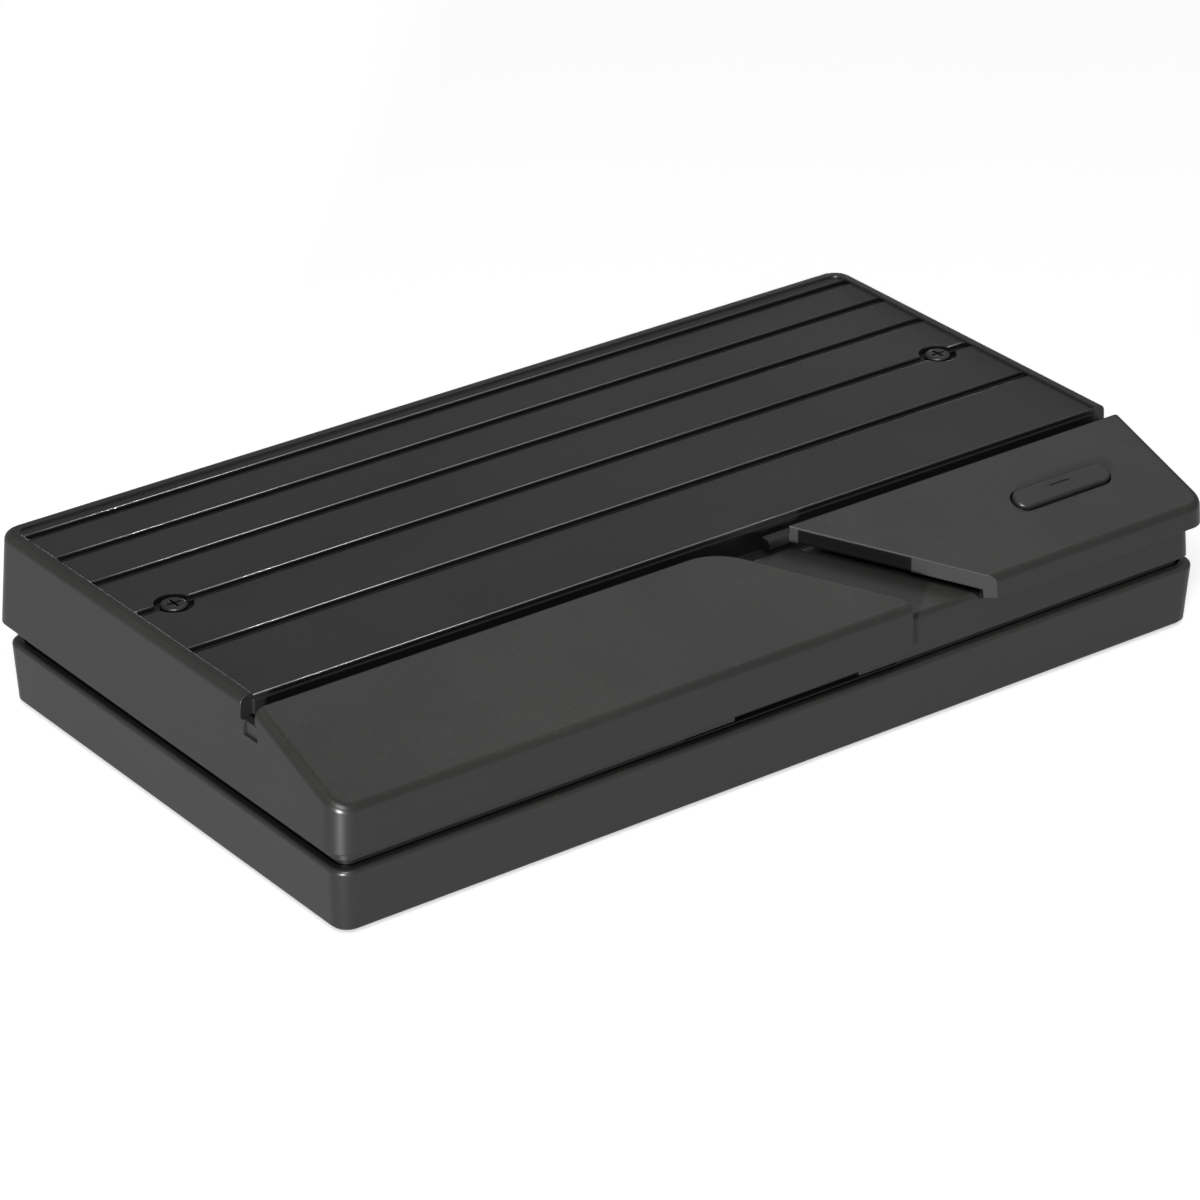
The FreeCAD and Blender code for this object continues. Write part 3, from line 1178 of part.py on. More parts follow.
def network_socket():
    y1 = PANEL_Y + FIT
    body = centred_box(LAN_SIZE, LAN_X, y1 - LAN_SIZE[1], BOARD_TOP_Z)
    w, d, h = LAN_MOUTH
    z0 = BOARD_TOP_Z + (LAN_SIZE[2] - h) / 2 + 0.8
    mouth = box(LAN_X - w / 2, LAN_X + w / 2, y1 - d, y1 + 1, z0, z0 + h)
    latch = box(LAN_X - 3.2, LAN_X + 3.2, y1 - d, y1 + 1, z0 - 1.8, z0 + 1)
    return body.cut(mouth).cut(latch)


def optical_socket():
    y1 = PANEL_Y + FIT
    w, d, h = OPTICAL_MOUTH
    body = centred_box(OPTICAL_SIZE, OPTICAL_X, y1 - OPTICAL_SIZE[1], BOARD_TOP_Z)
    z0 = BOARD_TOP_Z + (OPTICAL_SIZE[2] - h) / 2
    body = body.cut(box(OPTICAL_X - w / 2, OPTICAL_X + w / 2, y1 - d, y1 + 1, z0, z0 + h))
    lens = rod(1.2, 1.0, OPTICAL_X, y1 - d - 0.5, z0 + h / 2, V(0, 1, 0))
    body = body.fuse(lens)
    y, z = shutter_axis()
    x0 = OPTICAL_X - w / 2 - 0.6
    pin_holes = rod(SHUTTER_PIN_R + PIN_FIT, w + 1.2, x0, y, z, V(1, 0, 0))
    return body.cut(pin_holes).removeSplitter()


def shutter_axis():
    """Y and Z of the shutter's hinge line, at the top of the optical socket's mouth."""
    y = PANEL_Y + FIT - SHUTTER_BARREL_R - SHUTTER_GAP
    z = BOARD_TOP_Z + (OPTICAL_SIZE[2] + OPTICAL_MOUTH[2]) / 2 - SHUTTER_BARREL_R - SHUTTER_GAP
    return y, z


def optical_shutter():
    y, z = shutter_axis()
    w, d, h = OPTICAL_MOUTH
    x0 = OPTICAL_X - w / 2
    barrel = rod(SHUTTER_BARREL_R, w - 2 * SHUTTER_GAP, x0 + SHUTTER_GAP, y, z, V(1, 0, 0))
    pins = rod(SHUTTER_PIN_R, w + 0.8, x0 - 0.4, y, z, V(1, 0, 0))
    low = BOARD_TOP_Z + (OPTICAL_SIZE[2] - h) / 2 + SHUTTER_GAP
    y1 = y + SHUTTER_BARREL_R
    flap = box(x0 + SHUTTER_GAP, x0 + w - SHUTTER_GAP, y1 - SHUTTER_THICK, y1, low, z)
    return barrel.fuse(pins).fuse(flap).removeSplitter()


def power_jack():
    y1 = PANEL_Y + FIT
    body = centred_box(JACK_SIZE, JACK_X, y1 - JACK_SIZE[1], BOARD_TOP_Z)
    z = BOARD_TOP_Z + JACK_SIZE[2] / 2
    back = V(0, 1, 0)
    body = body.cut(rod(JACK_BORE_R, JACK_BORE_DEPTH + 1, JACK_X, y1 - JACK_BORE_DEPTH, z, back))
    pin = rod(JACK_PIN_R, JACK_PIN_LENGTH + 0.5, JACK_X, y1 - JACK_BORE_DEPTH - 0.5, z, back)
    return body.fuse(pin).removeSplitter()


# Feet, fasteners and small pieces

def rubber_feet():
    feet = []
    for x, y in foot_places():
        foot = rod(FOOT_R, FOOT_STAND + FOOT_SINK, x, y, 0)
        foot = foot.makeFillet(0.4, edges_on_plane(foot, lambda p: p.z < 0.01))
        feet.append(foot)
    return Part.makeCompound(feet)


def case_screws():
    screw = screw_solid(CASE_SCREW_HEAD_R, CASE_SCREW_HEAD_H, CASE_SCREW_SHANK_R, CASE_SCREW_LENGTH, 1.6)
    return Part.makeCompound([placed(screw, x, y, TRAY_BOTTOM_Z + FIT, True) for x, y in case_screw_places()])


def cover_screws():
    z = DECK_Z - COVER_SCREW_RECESS_DEPTH + COVER_SCREW_HEAD_H
    screw = screw_solid(COVER_SCREW_HEAD_R, COVER_SCREW_HEAD_H, COVER_SCREW_SHANK_R, COVER_SCREW_LENGTH, 1.7)
    return Part.makeCompound([placed(screw, x, y, z) for x, y in cover_screw_places()])


def wifi_boards():
    boards = []
    for side in (-1, 1):
        z0 = FRAME_LOW_Z + FRAME_EDGE_THICK
        lean = (z0 + WIFI_HEIGHT - FRAME_LOW_Z) * DRAFT
        face = side * (HALF_W - INNER_INSET - lean)
        x = sorted((face, face - side * WIFI_THICK))
        boards.append(box(x[0], x[1], WIFI_Y - WIFI_LENGTH, WIFI_Y, z0, z0 + WIFI_HEIGHT))
    return Part.makeCompound(boards)


def nodes():
    """Every piece by name, in the case's own frame."""
    return {
        "bottom_tray": bottom_tray(),
        "mid_frame": mid_frame(),
        "top_cover": top_cover(),
        "front_wing": front_wing(),
        "status_light_bar": status_light_bar(),
        "power_button": power_button(),
        "switch_plunger": switch_plunger(),
        "tact_switch": tact_switch(),
        "front_board": front_board(),
        "front_board_screws": front_board_screws(),
        "status_led": status_led(),
        "infrared_receiver": infrared_receiver(),
        "ribbon_sockets": ribbon_sockets(),
        "ribbon_cable": ribbon_cable(),
        "main_board": main_board(),
        "board_screws": board_screws(),
        "processor": processor(),
        "thermal_pad": thermal_pad(),
        "heat_sink": heat_sink(),
        "memory_chips": memory_chips(),
        "power_coils": power_coils(),
        "capacitors": capacitors(),
        "card_reader": card_reader(),
        "rear_panel": rear_panel(),
        "tuner_can": tuner_can(),
        "aerial_socket_left": aerial_socket(AERIAL_X[0]),
        "aerial_socket_right": aerial_socket(AERIAL_X[1]),
        "aerial_nuts": aerial_nuts(),
        "hdmi_socket": hdmi_socket(),
        "usb_sockets": usb_sockets(),
        "service_socket": service_socket(),
        "network_socket": network_socket(),
        "optical_socket": optical_socket(),
        "optical_shutter": optical_shutter(),
        "power_jack": power_jack(),
        "rubber_feet": rubber_feet(),
        "case_screws": case_screws(),
        "cover_screws": cover_screws(),
        "wifi_boards": wifi_boards(),
    }


def main():
    os.makedirs("parts", exist_ok=True)
    for name, shape in nodes().items():
        shape.translate(V(0, ORIGIN_SHIFT, 0))
        shape.exportStep("parts/" + name + ".step")
        b = shape.BoundBox
        print(name, len(shape.Solids), shape.isValid(), round(shape.Volume, 1),
              [round(v, 2) for v in (b.XMin, b.XMax, b.YMin, b.YMax, b.ZMin, b.ZMax)])


main()
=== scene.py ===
"""Looks of the satellite tv receiver: finishes, small metal parts, studio and camera."""

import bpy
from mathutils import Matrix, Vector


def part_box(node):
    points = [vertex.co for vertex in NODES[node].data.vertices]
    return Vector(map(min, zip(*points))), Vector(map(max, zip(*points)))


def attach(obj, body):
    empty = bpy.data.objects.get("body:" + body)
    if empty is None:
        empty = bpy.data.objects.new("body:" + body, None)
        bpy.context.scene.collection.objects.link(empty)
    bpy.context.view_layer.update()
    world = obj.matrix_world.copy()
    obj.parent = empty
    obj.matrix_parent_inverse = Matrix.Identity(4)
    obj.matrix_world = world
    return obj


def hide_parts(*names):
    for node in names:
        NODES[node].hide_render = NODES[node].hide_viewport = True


bl_info = {
    "name": "Satellite receiver",
    "version": (1, 0, 0),
    "blender": (4, 5, 0),
    "location": "3D View > Sidebar > Receiver",
    "description": "Finishes and small parts of a flat satellite tv receiver, with its studio",
    "category": "Object",
}

import math

import bpy
import numpy as np
from bpy.props import FloatProperty, FloatVectorProperty, IntProperty, PointerProperty
from bpy.types import Operator, Panel, PropertyGroup
from mathutils import Matrix

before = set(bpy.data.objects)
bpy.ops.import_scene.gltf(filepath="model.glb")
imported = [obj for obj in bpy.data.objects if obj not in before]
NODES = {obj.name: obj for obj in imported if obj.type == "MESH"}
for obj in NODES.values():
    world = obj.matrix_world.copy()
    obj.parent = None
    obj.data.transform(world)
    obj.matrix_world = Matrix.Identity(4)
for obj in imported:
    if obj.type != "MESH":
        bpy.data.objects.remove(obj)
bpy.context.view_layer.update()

MM = 0.001

# Slat beads: the slats' front edges, the rim round the deck, a screw's recess and its head's radius
SLAT_EDGES = np.array([52.45, 40.45, 27.05, 10.95, -8.05, -31.35]) * MM
RIM_RISE = 0.4 * MM
RIM_WIDTH = 3.3 * MM
RECESS_R = 4.25 * MM
SCREW_HEAD_R = 3.03 * MM
SUNK = 0.01 * MM

# Aerial sockets: radii of thread and bore, lengths of collar, bevel, lip and bore
AERIAL_CREST_R = 4.76 * MM
AERIAL_BORE_R = 1.9 * MM
AERIAL_COLLAR = 1.5 * MM
AERIAL_BEVEL = 0.5 * MM
AERIAL_RING = 1.5 * MM
AERIAL_LIP = 0.8 * MM
AERIAL_DEPTH = 4 * MM
INSULATOR = np.array([(0.55, -3.6), (0.55, -0.9), (0.9, -0.75), (1.6, -0.7), (1.85, -0.85),
                      (1.85, -3.6)]) * MM

# Contacts: distance between neighbours, width and thickness
NETWORK_WIRES = 8
NETWORK_PITCH, NETWORK_WIDTH, NETWORK_THICKNESS = 1.02 * MM, 0.5 * MM, 0.25 * MM
USB_WIRES = 4
USB_PITCH, USB_WIDTH, USB_THICKNESS = 2.2 * MM, 1.1 * MM, 0.2 * MM
USB_SOCKET = 14.4 * MM
USB_TONGUE = 3.48 * MM

# Chip parts: half sizes, where a soldered end sits, and the distances that their rows keep
CHIP_HALF = np.array([0.8, 0.45, 0.3]) * MM
CHIP_END = np.array([0.85, 0.0, 0.0]) * MM
CHIPS_IN_COLUMN, COLUMN_GAP = 9, 5.2 * MM
CHIPS_IN_ROW, ROW_LEFT, ROW_RIGHT, ROW_BACK = 22, 60 * MM, 62 * MM, 21.5 * MM

# Lights: size and place, in metres. Each has its power in ReceiverStage.
LIGHTS = {
    "key": (0.9, (-0.9, -1.1, 1.5)),
    "side": (0.16, (-1.48, -1.22, 0.09)),
    "over": (1.0, (0.96, 0.45, 1.46)),
    "back": (0.3, (2.35, 2.85, 0.16)),
}

# Camera, from the photograph's straight edges and vanishing points: place in metres, yaw, pitch and roll
# in degrees, sensor in millimetres, focal length and picture width in picture points
CAMERA_PLACE = (-0.597165, -0.791153, 0.526279)
CAMERA_TURN = (37.024, 27.357, -0.155)
SENSOR = 36.0
FOCAL = 5366.5
PICTURE = 1200

FLOOR_REACH = 4.0


# Sizes and colours that a user would change

def colour(name, description, default):
    return FloatVectorProperty(name=name, description=description, default=default, size=3,
                               subtype="COLOR", min=0.0, max=1.0)


def length(name, description, default):
    return FloatProperty(name=name, description=description, default=default, min=0.0,
                         subtype="DISTANCE", unit="LENGTH", precision=5)


def share(name, description, default):
    return FloatProperty(name=name, description=description, default=default, min=0.0, max=1.0,
                         subtype="FACTOR")


def watts(name, description, default):
    return FloatProperty(name=name, description=description, default=default, min=0.0,
                         subtype="POWER", unit="POWER")


class ReceiverCase(PropertyGroup):
    plastic: colour("Plastic", "Colour of the moulded case", (0.0095, 0.0095, 0.0091))
    button: colour("Button", "Colour of the power button", (0.0090, 0.0090, 0.0088))
    gloss: share("Roughness", "Roughness of the satin plastic", 0.34)
    grain: length("Grain size", "Size of the mould's spark-eroded grain", 0.00035)
    relief: length("Grain relief", "Depth of the mould's grain", 0.000006)
    edge: length("Edge softness", "Radius that sharp moulded edges look rounded to", 0.00030)
    bead: length("Bead width", "Width of the bead along each slat's front edge", 0.00027)
    dust: share("Dust", "Amount of settled dust", 0.07)


class ReceiverBoards(PropertyGroup):
    mask: colour("Solder mask", "Colour of the circuit boards", (0.012, 0.085, 0.035))
    copper: colour("Tracks", "Colour of the tracks under the mask", (0.03, 0.17, 0.07))
    track: length("Track pitch", "Distance between neighbouring tracks", 0.0016)


class ReceiverMetals(PropertyGroup):
    tin: colour("Tinned steel", "Colour of shells and screening cans", (0.62, 0.61, 0.58))
    nickel: colour("Nickel", "Colour of the aerial sockets and nuts", (0.66, 0.63, 0.57))
    gold: colour("Gold", "Colour of the contacts", (0.83, 0.6, 0.24))
    screw: colour("Blackened steel", "Colour of the screws", (0.09, 0.09, 0.092))


class ReceiverThreads(PropertyGroup):
    pitch: length("Pitch", "Distance between thread crests", 0.00079375)
    depth: length("Depth", "Depth of the thread", 0.00040)
    sides: IntProperty(name="Sides", description="Facets round each thread", default=96, min=12,
                       max=192)


class ReceiverStage(PropertyGroup):
    floor: colour("Floor", "Colour of the floor", (0.86, 0.86, 0.86))
    ambient: FloatProperty(name="Ambient", description="Strength of the world", default=0.12, min=0.0)
    lift: FloatProperty(name="Floor lift", default=0.6, min=0.0,
                        description="White that the floor adds to what the camera sees")
    mirrored: share("Mirrored backdrop", "Share of the white backdrop that glossy surfaces mirror", 0.2)
    key: watts("Key light", "Power of the large light", 22.0)
    side: watts("Side light", "Power of the low light on the left", 68.0)
    over: watts("Overhead light", "Power of the soft light overhead", 1.8)
    back: watts("Back light", "Power of the low light behind", 3.0)


# Surfaces worked out on a grid

def grid_quads(rows, columns):
    """Quads of a grid of points whose rows close on themselves: each quad joins a point to the next in
    its row and to the two beside them in the next row."""
    i, j = np.meshgrid(np.arange(rows - 1), np.arange(columns), indexing="ij")
    beside = (j + 1) % columns
    corners = [i * columns + j, i * columns + beside, (i + 1) * columns + beside, (i + 1) * columns + j]
    return np.stack(corners, -1).reshape(-1, 4)


def repeated(quads, copies, points):
    """The same quads for each copy, whose points follow one another in blocks."""
    steps = (np.arange(copies) * points)[:, None, None]
    return (quads[None] + steps).reshape(-1, 4)


def make_piece(name, points, quads, material, body="case", smooth=True, caps=()):
    """Mesh object from an array of points, an array of quads and lists of point numbers for caps."""
    faces = [tuple(int(k) for k in q) for q in quads] + [tuple(int(k) for k in cap) for cap in caps]
    mesh = bpy.data.meshes.new(name)
    mesh.from_pydata(points.reshape(-1, 3).astype(float), [], faces)
    mesh.polygons.foreach_set("use_smooth", np.full(len(faces), smooth))
    mesh.materials.append(material)
    mesh.update()
    piece = bpy.data.objects.new(name, mesh)
    bpy.context.scene.collection.objects.link(piece)
    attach(piece, body)
    return piece


def turned(profile, sides, centre, swell=None):
    """Lathe surface about the Y axis: at each profile point (radius, y) a ring of that radius.
    swell(angle, y) gives what is added to the radius, so that a thread can wind along it."""
    angle = np.linspace(0, 2 * np.pi, sides, endpoint=False)
    r, y = profile[:, :1], profile[:, 1:]
    r = r + (swell(angle[None, :], y) if swell is not None else 0.0)
    ring = np.ones_like(angle)[None, :]
    x = centre[0] + r * np.sin(angle)
    z = centre[2] + r * np.cos(angle)
    return np.stack([x, centre[1] + y * ring, z], -1), grid_quads(len(profile), sides)


def bricks(centres, halves, squareness=0.28, around=16, along=9):
    """Rounded bricks, one per centre: a superellipsoid, each of its sines and cosines raised to the
    same small power, scaled to the brick's half sizes."""
    u = np.linspace(0, 2 * np.pi, around, endpoint=False) + np.pi / around
    v = np.linspace(-np.pi / 2, np.pi / 2, along)[1:-1]

    def power(t):
        return np.sign(t) * np.abs(t) ** squareness

    cu, su = power(np.cos(u)), power(np.sin(u))
    cv, sv = power(np.cos(v))[:, None], power(np.sin(v))[:, None]
    shape = np.stack([cv * cu, cv * su, sv * np.ones_like(cu)], -1).reshape(-1, 3)
    count = len(shape)
    points = centres[:, None, :] + halves[:, None, :] * shape[None]
    quads = repeated(grid_quads(len(v), around), len(centres), count)
    caps = []
    for k in range(len(centres)):
        base = k * count
        caps.append(range(base + around - 1, base - 1, -1))
        caps.append(range(base + count - around, base + count))
    return points.reshape(-1, 3), quads, caps


def strips(paths, width, thickness):
    """Flat strips that follow paths in the YZ plane: each path point carries a small rectangle, width
    across X and thickness square to the path."""
    step = np.gradient(paths, axis=1)
    step = step / np.linalg.norm(step, axis=2, keepdims=True)
    square = np.stack([np.zeros_like(step[..., 0]), -step[..., 2], step[..., 1]], -1) * thickness / 2
    across = np.array([width / 2, 0.0, 0.0])
    near, far = paths - square, paths + square
    points = np.stack([near - across, near + across, far + across, far - across], 2)
    count, rows = points.shape[:2]
    quads = repeated(grid_quads(rows, 4), count, rows * 4)[:, ::-1]
    caps = []
    for k in range(count):
        first = k * rows * 4
        last = first + (rows - 1) * 4
        caps.append(range(first, first + 4))
        caps.append(range(last + 3, last - 1, -1))
    return points.reshape(-1, 3), quads, caps


# Node helpers

def add(tree, kind, **settings):
    node = tree.nodes.new(kind)
    for key, value in settings.items():
        setattr(node, key, value)
    return node


def plug(tree, socket, value):
    """Links a socket to another one, or sets it to a number or a colour."""
    if isinstance(value, bpy.types.NodeSocket):
        tree.links.new(value, socket)
    elif socket.type == "RGBA":
        socket.default_value = (*value[:3], 1.0)
    else:
        socket.default_value = value


def feed(tree, node, **values):
    """Plugs a node's sockets by name, with _ for a space."""
    for key, value in values.items():
        plug(tree, node.inputs[key.replace("_", " ")], value)
    return node


def maths(tree, operation, a, b=0.0, clamp=False):
    node = add(tree, "ShaderNodeMath", operation=operation, use_clamp=clamp)
    plug(tree, node.inputs[0], a)
    plug(tree, node.inputs[1], b)
    return node.outputs[0]


def blend(tree, factor, a, b):
    """Colour that goes from a to b as the factor goes from 0 to 1."""
    node = add(tree, "ShaderNodeMix", data_type="RGBA")
    plug(tree, node.inputs[0], factor)
    plug(tree, node.inputs[6], a)
    plug(tree, node.inputs[7], b)
    return node.outputs[2]


def ramp(tree, value, low, high, out_low=0.0, out_high=1.0):
    """Number that goes from out_low to out_high as the value goes from low to high."""
    node = add(tree, "ShaderNodeMapRange", clamp=True)
    feed(tree, node, Value=value, From_Min=low, From_Max=high, To_Min=out_low, To_Max=out_high)
    return node.outputs[0]


def noise(tree, where, scale, detail=2.0, rough=0.5):
    node = add(tree, "ShaderNodeTexNoise")
    feed(tree, node, Vector=where, Scale=scale, Detail=detail, Roughness=rough)
    return node.outputs[0]


def place(tree):
    """Where the surface is on the receiver, in metres."""
    return add(tree, "ShaderNodeTexCoord").outputs["Object"]


def group(name, inputs, outputs):
    """Node group with its sockets: inputs is name to default, outputs is name to socket kind."""
    tree = bpy.data.node_groups.new(name, "ShaderNodeTree")
    for key, value in inputs.items():
        kind = "NodeSocketColor" if isinstance(value, tuple) else "NodeSocketFloat"
        socket = tree.interface.new_socket(name=key, in_out="INPUT", socket_type=kind)
        socket.default_value = (*value, 1.0) if isinstance(value, tuple) else value
    for key, kind in outputs.items():
        tree.interface.new_socket(name=key, in_out="OUTPUT", socket_type=kind)
    start = tree.nodes.new("NodeGroupInput")
    end = tree.nodes.new("NodeGroupOutput")
    return tree, start.outputs, end.inputs


def use(tree, name, **values):
    node = add(tree, "ShaderNodeGroup", node_tree=bpy.data.node_groups[name])
    return feed(tree, node, **values).outputs


HEIGHT_AND_GLOSS = {"Height": "NodeSocketFloat", "Gloss": "NodeSocketFloat"}


def about(tree, pattern, middle, spread):
    """Number that strays from the middle by up to half the spread, as a pattern from 0 to 1 does."""
    stray = maths(tree, "MULTIPLY", maths(tree, "SUBTRACT", pattern, 0.5), spread)
    return maths(tree, "ADD", middle, stray)


def moulded_grain():
    """Fine bumps of a spark-eroded mould, and a gloss that changes slowly from place to place."""
    defaults = {"Size": 0.0004, "Roughness": 0.4, "Spread": 0.05}
    tree, given, out = group("Moulded Grain", defaults, HEIGHT_AND_GLOSS)
    scale = maths(tree, "DIVIDE", 1.0, given["Size"])
    fine = noise(tree, place(tree), scale, 3.0, 0.6)
    broad = noise(tree, place(tree), 60.0, 4.0, 0.55)
    tree.links.new(fine, out["Height"])
    tree.links.new(about(tree, broad, given["Roughness"], given["Spread"]), out["Gloss"])


def drifting_tone():
    """A colour that gets a little lighter and darker in soft clouds."""
    defaults = {"Colour": (0.5, 0.5, 0.5), "Spread": 0.1}
    tree, given, out = group("Drifting Tone", defaults, {"Colour": "NodeSocketColor"})
    cloud = noise(tree, place(tree), 35.0, 4.0, 0.6)
    tone = add(tree, "ShaderNodeHueSaturation")
    feed(tree, tone, Color=given["Colour"], Value=about(tree, cloud, 1.0, given["Spread"]))
    tree.links.new(tone.outputs[0], out["Colour"])


def settled_dust():
    """A thin film with specks, on faces that look up."""
    tree, given, out = group("Settled Dust", {"Amount": 0.1}, {"Mask": "NodeSocketFloat"})
    up = add(tree, "ShaderNodeSeparateXYZ")
    tree.links.new(add(tree, "ShaderNodeNewGeometry").outputs["Normal"], up.inputs[0])
    flat = ramp(tree, up.outputs[2], 0.2, 0.95)
    specks = ramp(tree, noise(tree, place(tree), 900.0, 3.0, 0.7), 0.58, 0.78)
    film = noise(tree, place(tree), 25.0, 3.0, 0.5)
    both = maths(tree, "MULTIPLY", maths(tree, "ADD", specks, film), given["Amount"])
    tree.links.new(maths(tree, "MULTIPLY", both, flat, clamp=True), out["Mask"])


def soft_edges():
    """Normals that turn smoothly across a sharp edge."""
    tree, given, out = group("Soft Edges", {"Radius": 0.0003}, {"Normal": "NodeSocketVector"})
    soft = add(tree, "ShaderNodeBevel", samples=8)
    feed(tree, soft, Radius=given["Radius"])
    tree.links.new(soft.outputs[0], out["Normal"])


def board_tracks():
    """Bundles of tracks that turn at right angles, and round pads."""
    masks = {"Track": "NodeSocketFloat", "Pad": "NodeSocketFloat"}
    tree, given, out = group("Board Tracks", {"Pitch": 0.0016}, masks)
    scale = maths(tree, "DIVIDE", 1.0, given["Pitch"])
    cells = add(tree, "ShaderNodeTexVoronoi", distance="MANHATTAN", feature="F1")
    feed(tree, cells, Vector=place(tree), Scale=maths(tree, "MULTIPLY", scale, 0.12))
    bands = maths(tree, "FRACT", maths(tree, "MULTIPLY", cells.outputs["Distance"], 9.0))
    off_centre = maths(tree, "ABSOLUTE", maths(tree, "SUBTRACT", bands, 0.5))
    tree.links.new(ramp(tree, off_centre, 0.2, 0.26), out["Track"])
    dots = add(tree, "ShaderNodeTexVoronoi", distance="EUCLIDEAN", feature="F1")
    feed(tree, dots, Vector=place(tree), Scale=maths(tree, "MULTIPLY", scale, 0.35))
    tree.links.new(ramp(tree, dots.outputs["Distance"], 0.09, 0.12, 1.0, 0.0), out["Pad"])


def brushed_lines():
    """Lines drawn out along X, with a gloss that follows them."""
    defaults = {"Along": 40.0, "Across": 4000.0, "Roughness": 0.3}
    tree, given, out = group("Brushed Lines", defaults, HEIGHT_AND_GLOSS)
    stretch = add(tree, "ShaderNodeCombineXYZ")
    feed(tree, stretch, X=given["Along"], Y=given["Across"], Z=given["Across"])
    scaled = add(tree, "ShaderNodeVectorMath", operation="MULTIPLY")
    tree.links.new(place(tree), scaled.inputs[0])
    tree.links.new(stretch.outputs[0], scaled.inputs[1])
    lines = noise(tree, scaled.outputs[0], 1.0, 2.0, 0.5)
    tree.links.new(lines, out["Height"])
    tree.links.new(about(tree, lines, given["Roughness"], 0.25), out["Gloss"])


def material(name):
    """New material with its tree and its shader."""
    new = bpy.data.materials.new(name)
    new.use_nodes = True
    return new, new.node_tree, new.node_tree.nodes["Principled BSDF"]


def raise_surface(tree, shader, height, depth, edge):
    """Relief of that depth on the shader's normal, over edges softened to a radius."""
    bump = add(tree, "ShaderNodeBump")
    bump.inputs["Strength"].default_value = 1.0
    bump.inputs["Distance"].default_value = depth
    feed(tree, bump, Height=height)
    if edge:
        tree.links.new(use(tree, "Soft Edges", Radius=edge)["Normal"], bump.inputs["Normal"])
    tree.links.new(bump.outputs[0], shader.inputs["Normal"])


def plastic(name, base, rough, grain, relief, edge, dust=0.0, specular=0.5, coat=0.0):
    """Moulded plastic: drifting tone, eroded grain, softened edges and a little dust."""
    new, tree, shader = material(name)
    toned = use(tree, "Drifting Tone", Colour=(*base, 1.0), Spread=0.12)["Colour"]
    surface = use(tree, "Moulded Grain", Size=grain, Roughness=rough, Spread=0.12)
    gloss = surface["Gloss"]
    if dust:
        mask = use(tree, "Settled Dust", Amount=dust)["Mask"]
        toned = blend(tree, mask, toned, (0.32, 0.31, 0.29))
        gloss = maths(tree, "ADD", gloss, maths(tree, "MULTIPLY", mask, 0.4), clamp=True)
    tree.links.new(toned, shader.inputs["Base Color"])
    tree.links.new(gloss, shader.inputs["Roughness"])
    shader.inputs["Specular IOR Level"].default_value = specular
    if coat:
        shader.inputs["Coat Weight"].default_value = coat
        shader.inputs["Coat Roughness"].default_value = 0.08
    raise_surface(tree, shader, surface["Height"], relief, edge)
    return new


def metal(name, base, rough, along=60.0, across=3000.0, relief=0.000004, edge=0.00015):
    """Drawn or turned metal: fine lines one way, a drifting tone and softened edges."""
    new, tree, shader = material(name)
    toned = use(tree, "Drifting Tone", Colour=(*base, 1.0), Spread=0.16)["Colour"]
    lines = use(tree, "Brushed Lines", Along=along, Across=across, Roughness=rough)
    tree.links.new(toned, shader.inputs["Base Color"])
    tree.links.new(lines["Gloss"], shader.inputs["Roughness"])
    shader.inputs["Metallic"].default_value = 1.0
    raise_surface(tree, shader, lines["Height"], relief, edge)
    return new


def board(name, mask, copper, track):
    """Circuit board: tracks under the solder mask, tinned pads through it."""
    new, tree, shader = material(name)
    pattern = use(tree, "Board Tracks", Pitch=track)
    ground = blend(tree, pattern["Track"], mask, copper)
    toned = blend(tree, pattern["Pad"], ground, (0.55, 0.53, 0.48))
    tree.links.new(toned, shader.inputs["Base Color"])
    tree.links.new(ramp(tree, pattern["Pad"], 0.0, 1.0, 0.32, 0.22), shader.inputs["Roughness"])
    tree.links.new(pattern["Pad"], shader.inputs["Metallic"])
    rise = maths(tree, "ADD", pattern["Track"], pattern["Pad"])
    raise_surface(tree, shader, rise, 0.00003, 0.0)
    return new


def dress(node, new):
    """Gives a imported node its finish."""
    mesh = NODES[node].data
    mesh.materials.clear()
    mesh.materials.append(new)


def dress_all(names, new):
    for node in names:
        dress(node, new)


# Operators

class RECEIVER_OT_effects(Operator):
    """Shared surface effects that the finishes are made of"""
    bl_idname = "receiver.effects"
    bl_label = "Surface effects"

    def execute(self, context):
        moulded_grain()
        drifting_tone()
        settled_dust()
        soft_edges()
        board_tracks()
        brushed_lines()
        return {"FINISHED"}


class RECEIVER_OT_case(Operator):
    """Satin black plastic on the tray, the frame, the cover, the wing and the rear panel"""
    bl_idname = "receiver.case"
    bl_label = "Case mouldings"

    def execute(self, context):
        look = context.scene.receiver_case
        satin = plastic("Satin black", look.plastic, look.gloss, look.grain, look.relief, look.edge,
                        look.dust)
        dress_all(["bottom_tray", "mid_frame", "top_cover", "front_wing"], satin)
        panel = plastic("Panel black", look.plastic, look.gloss + 0.08, look.grain, look.relief * 1.5,
                        look.edge)
        dress("rear_panel", panel)
        rubber = plastic("Foot rubber", (0.022, 0.022, 0.022), 0.72, look.grain * 2, look.relief * 4,
                         0.0004, dust=0.1, specular=0.3)
        dress("rubber_feet", rubber)
        return {"FINISHED"}


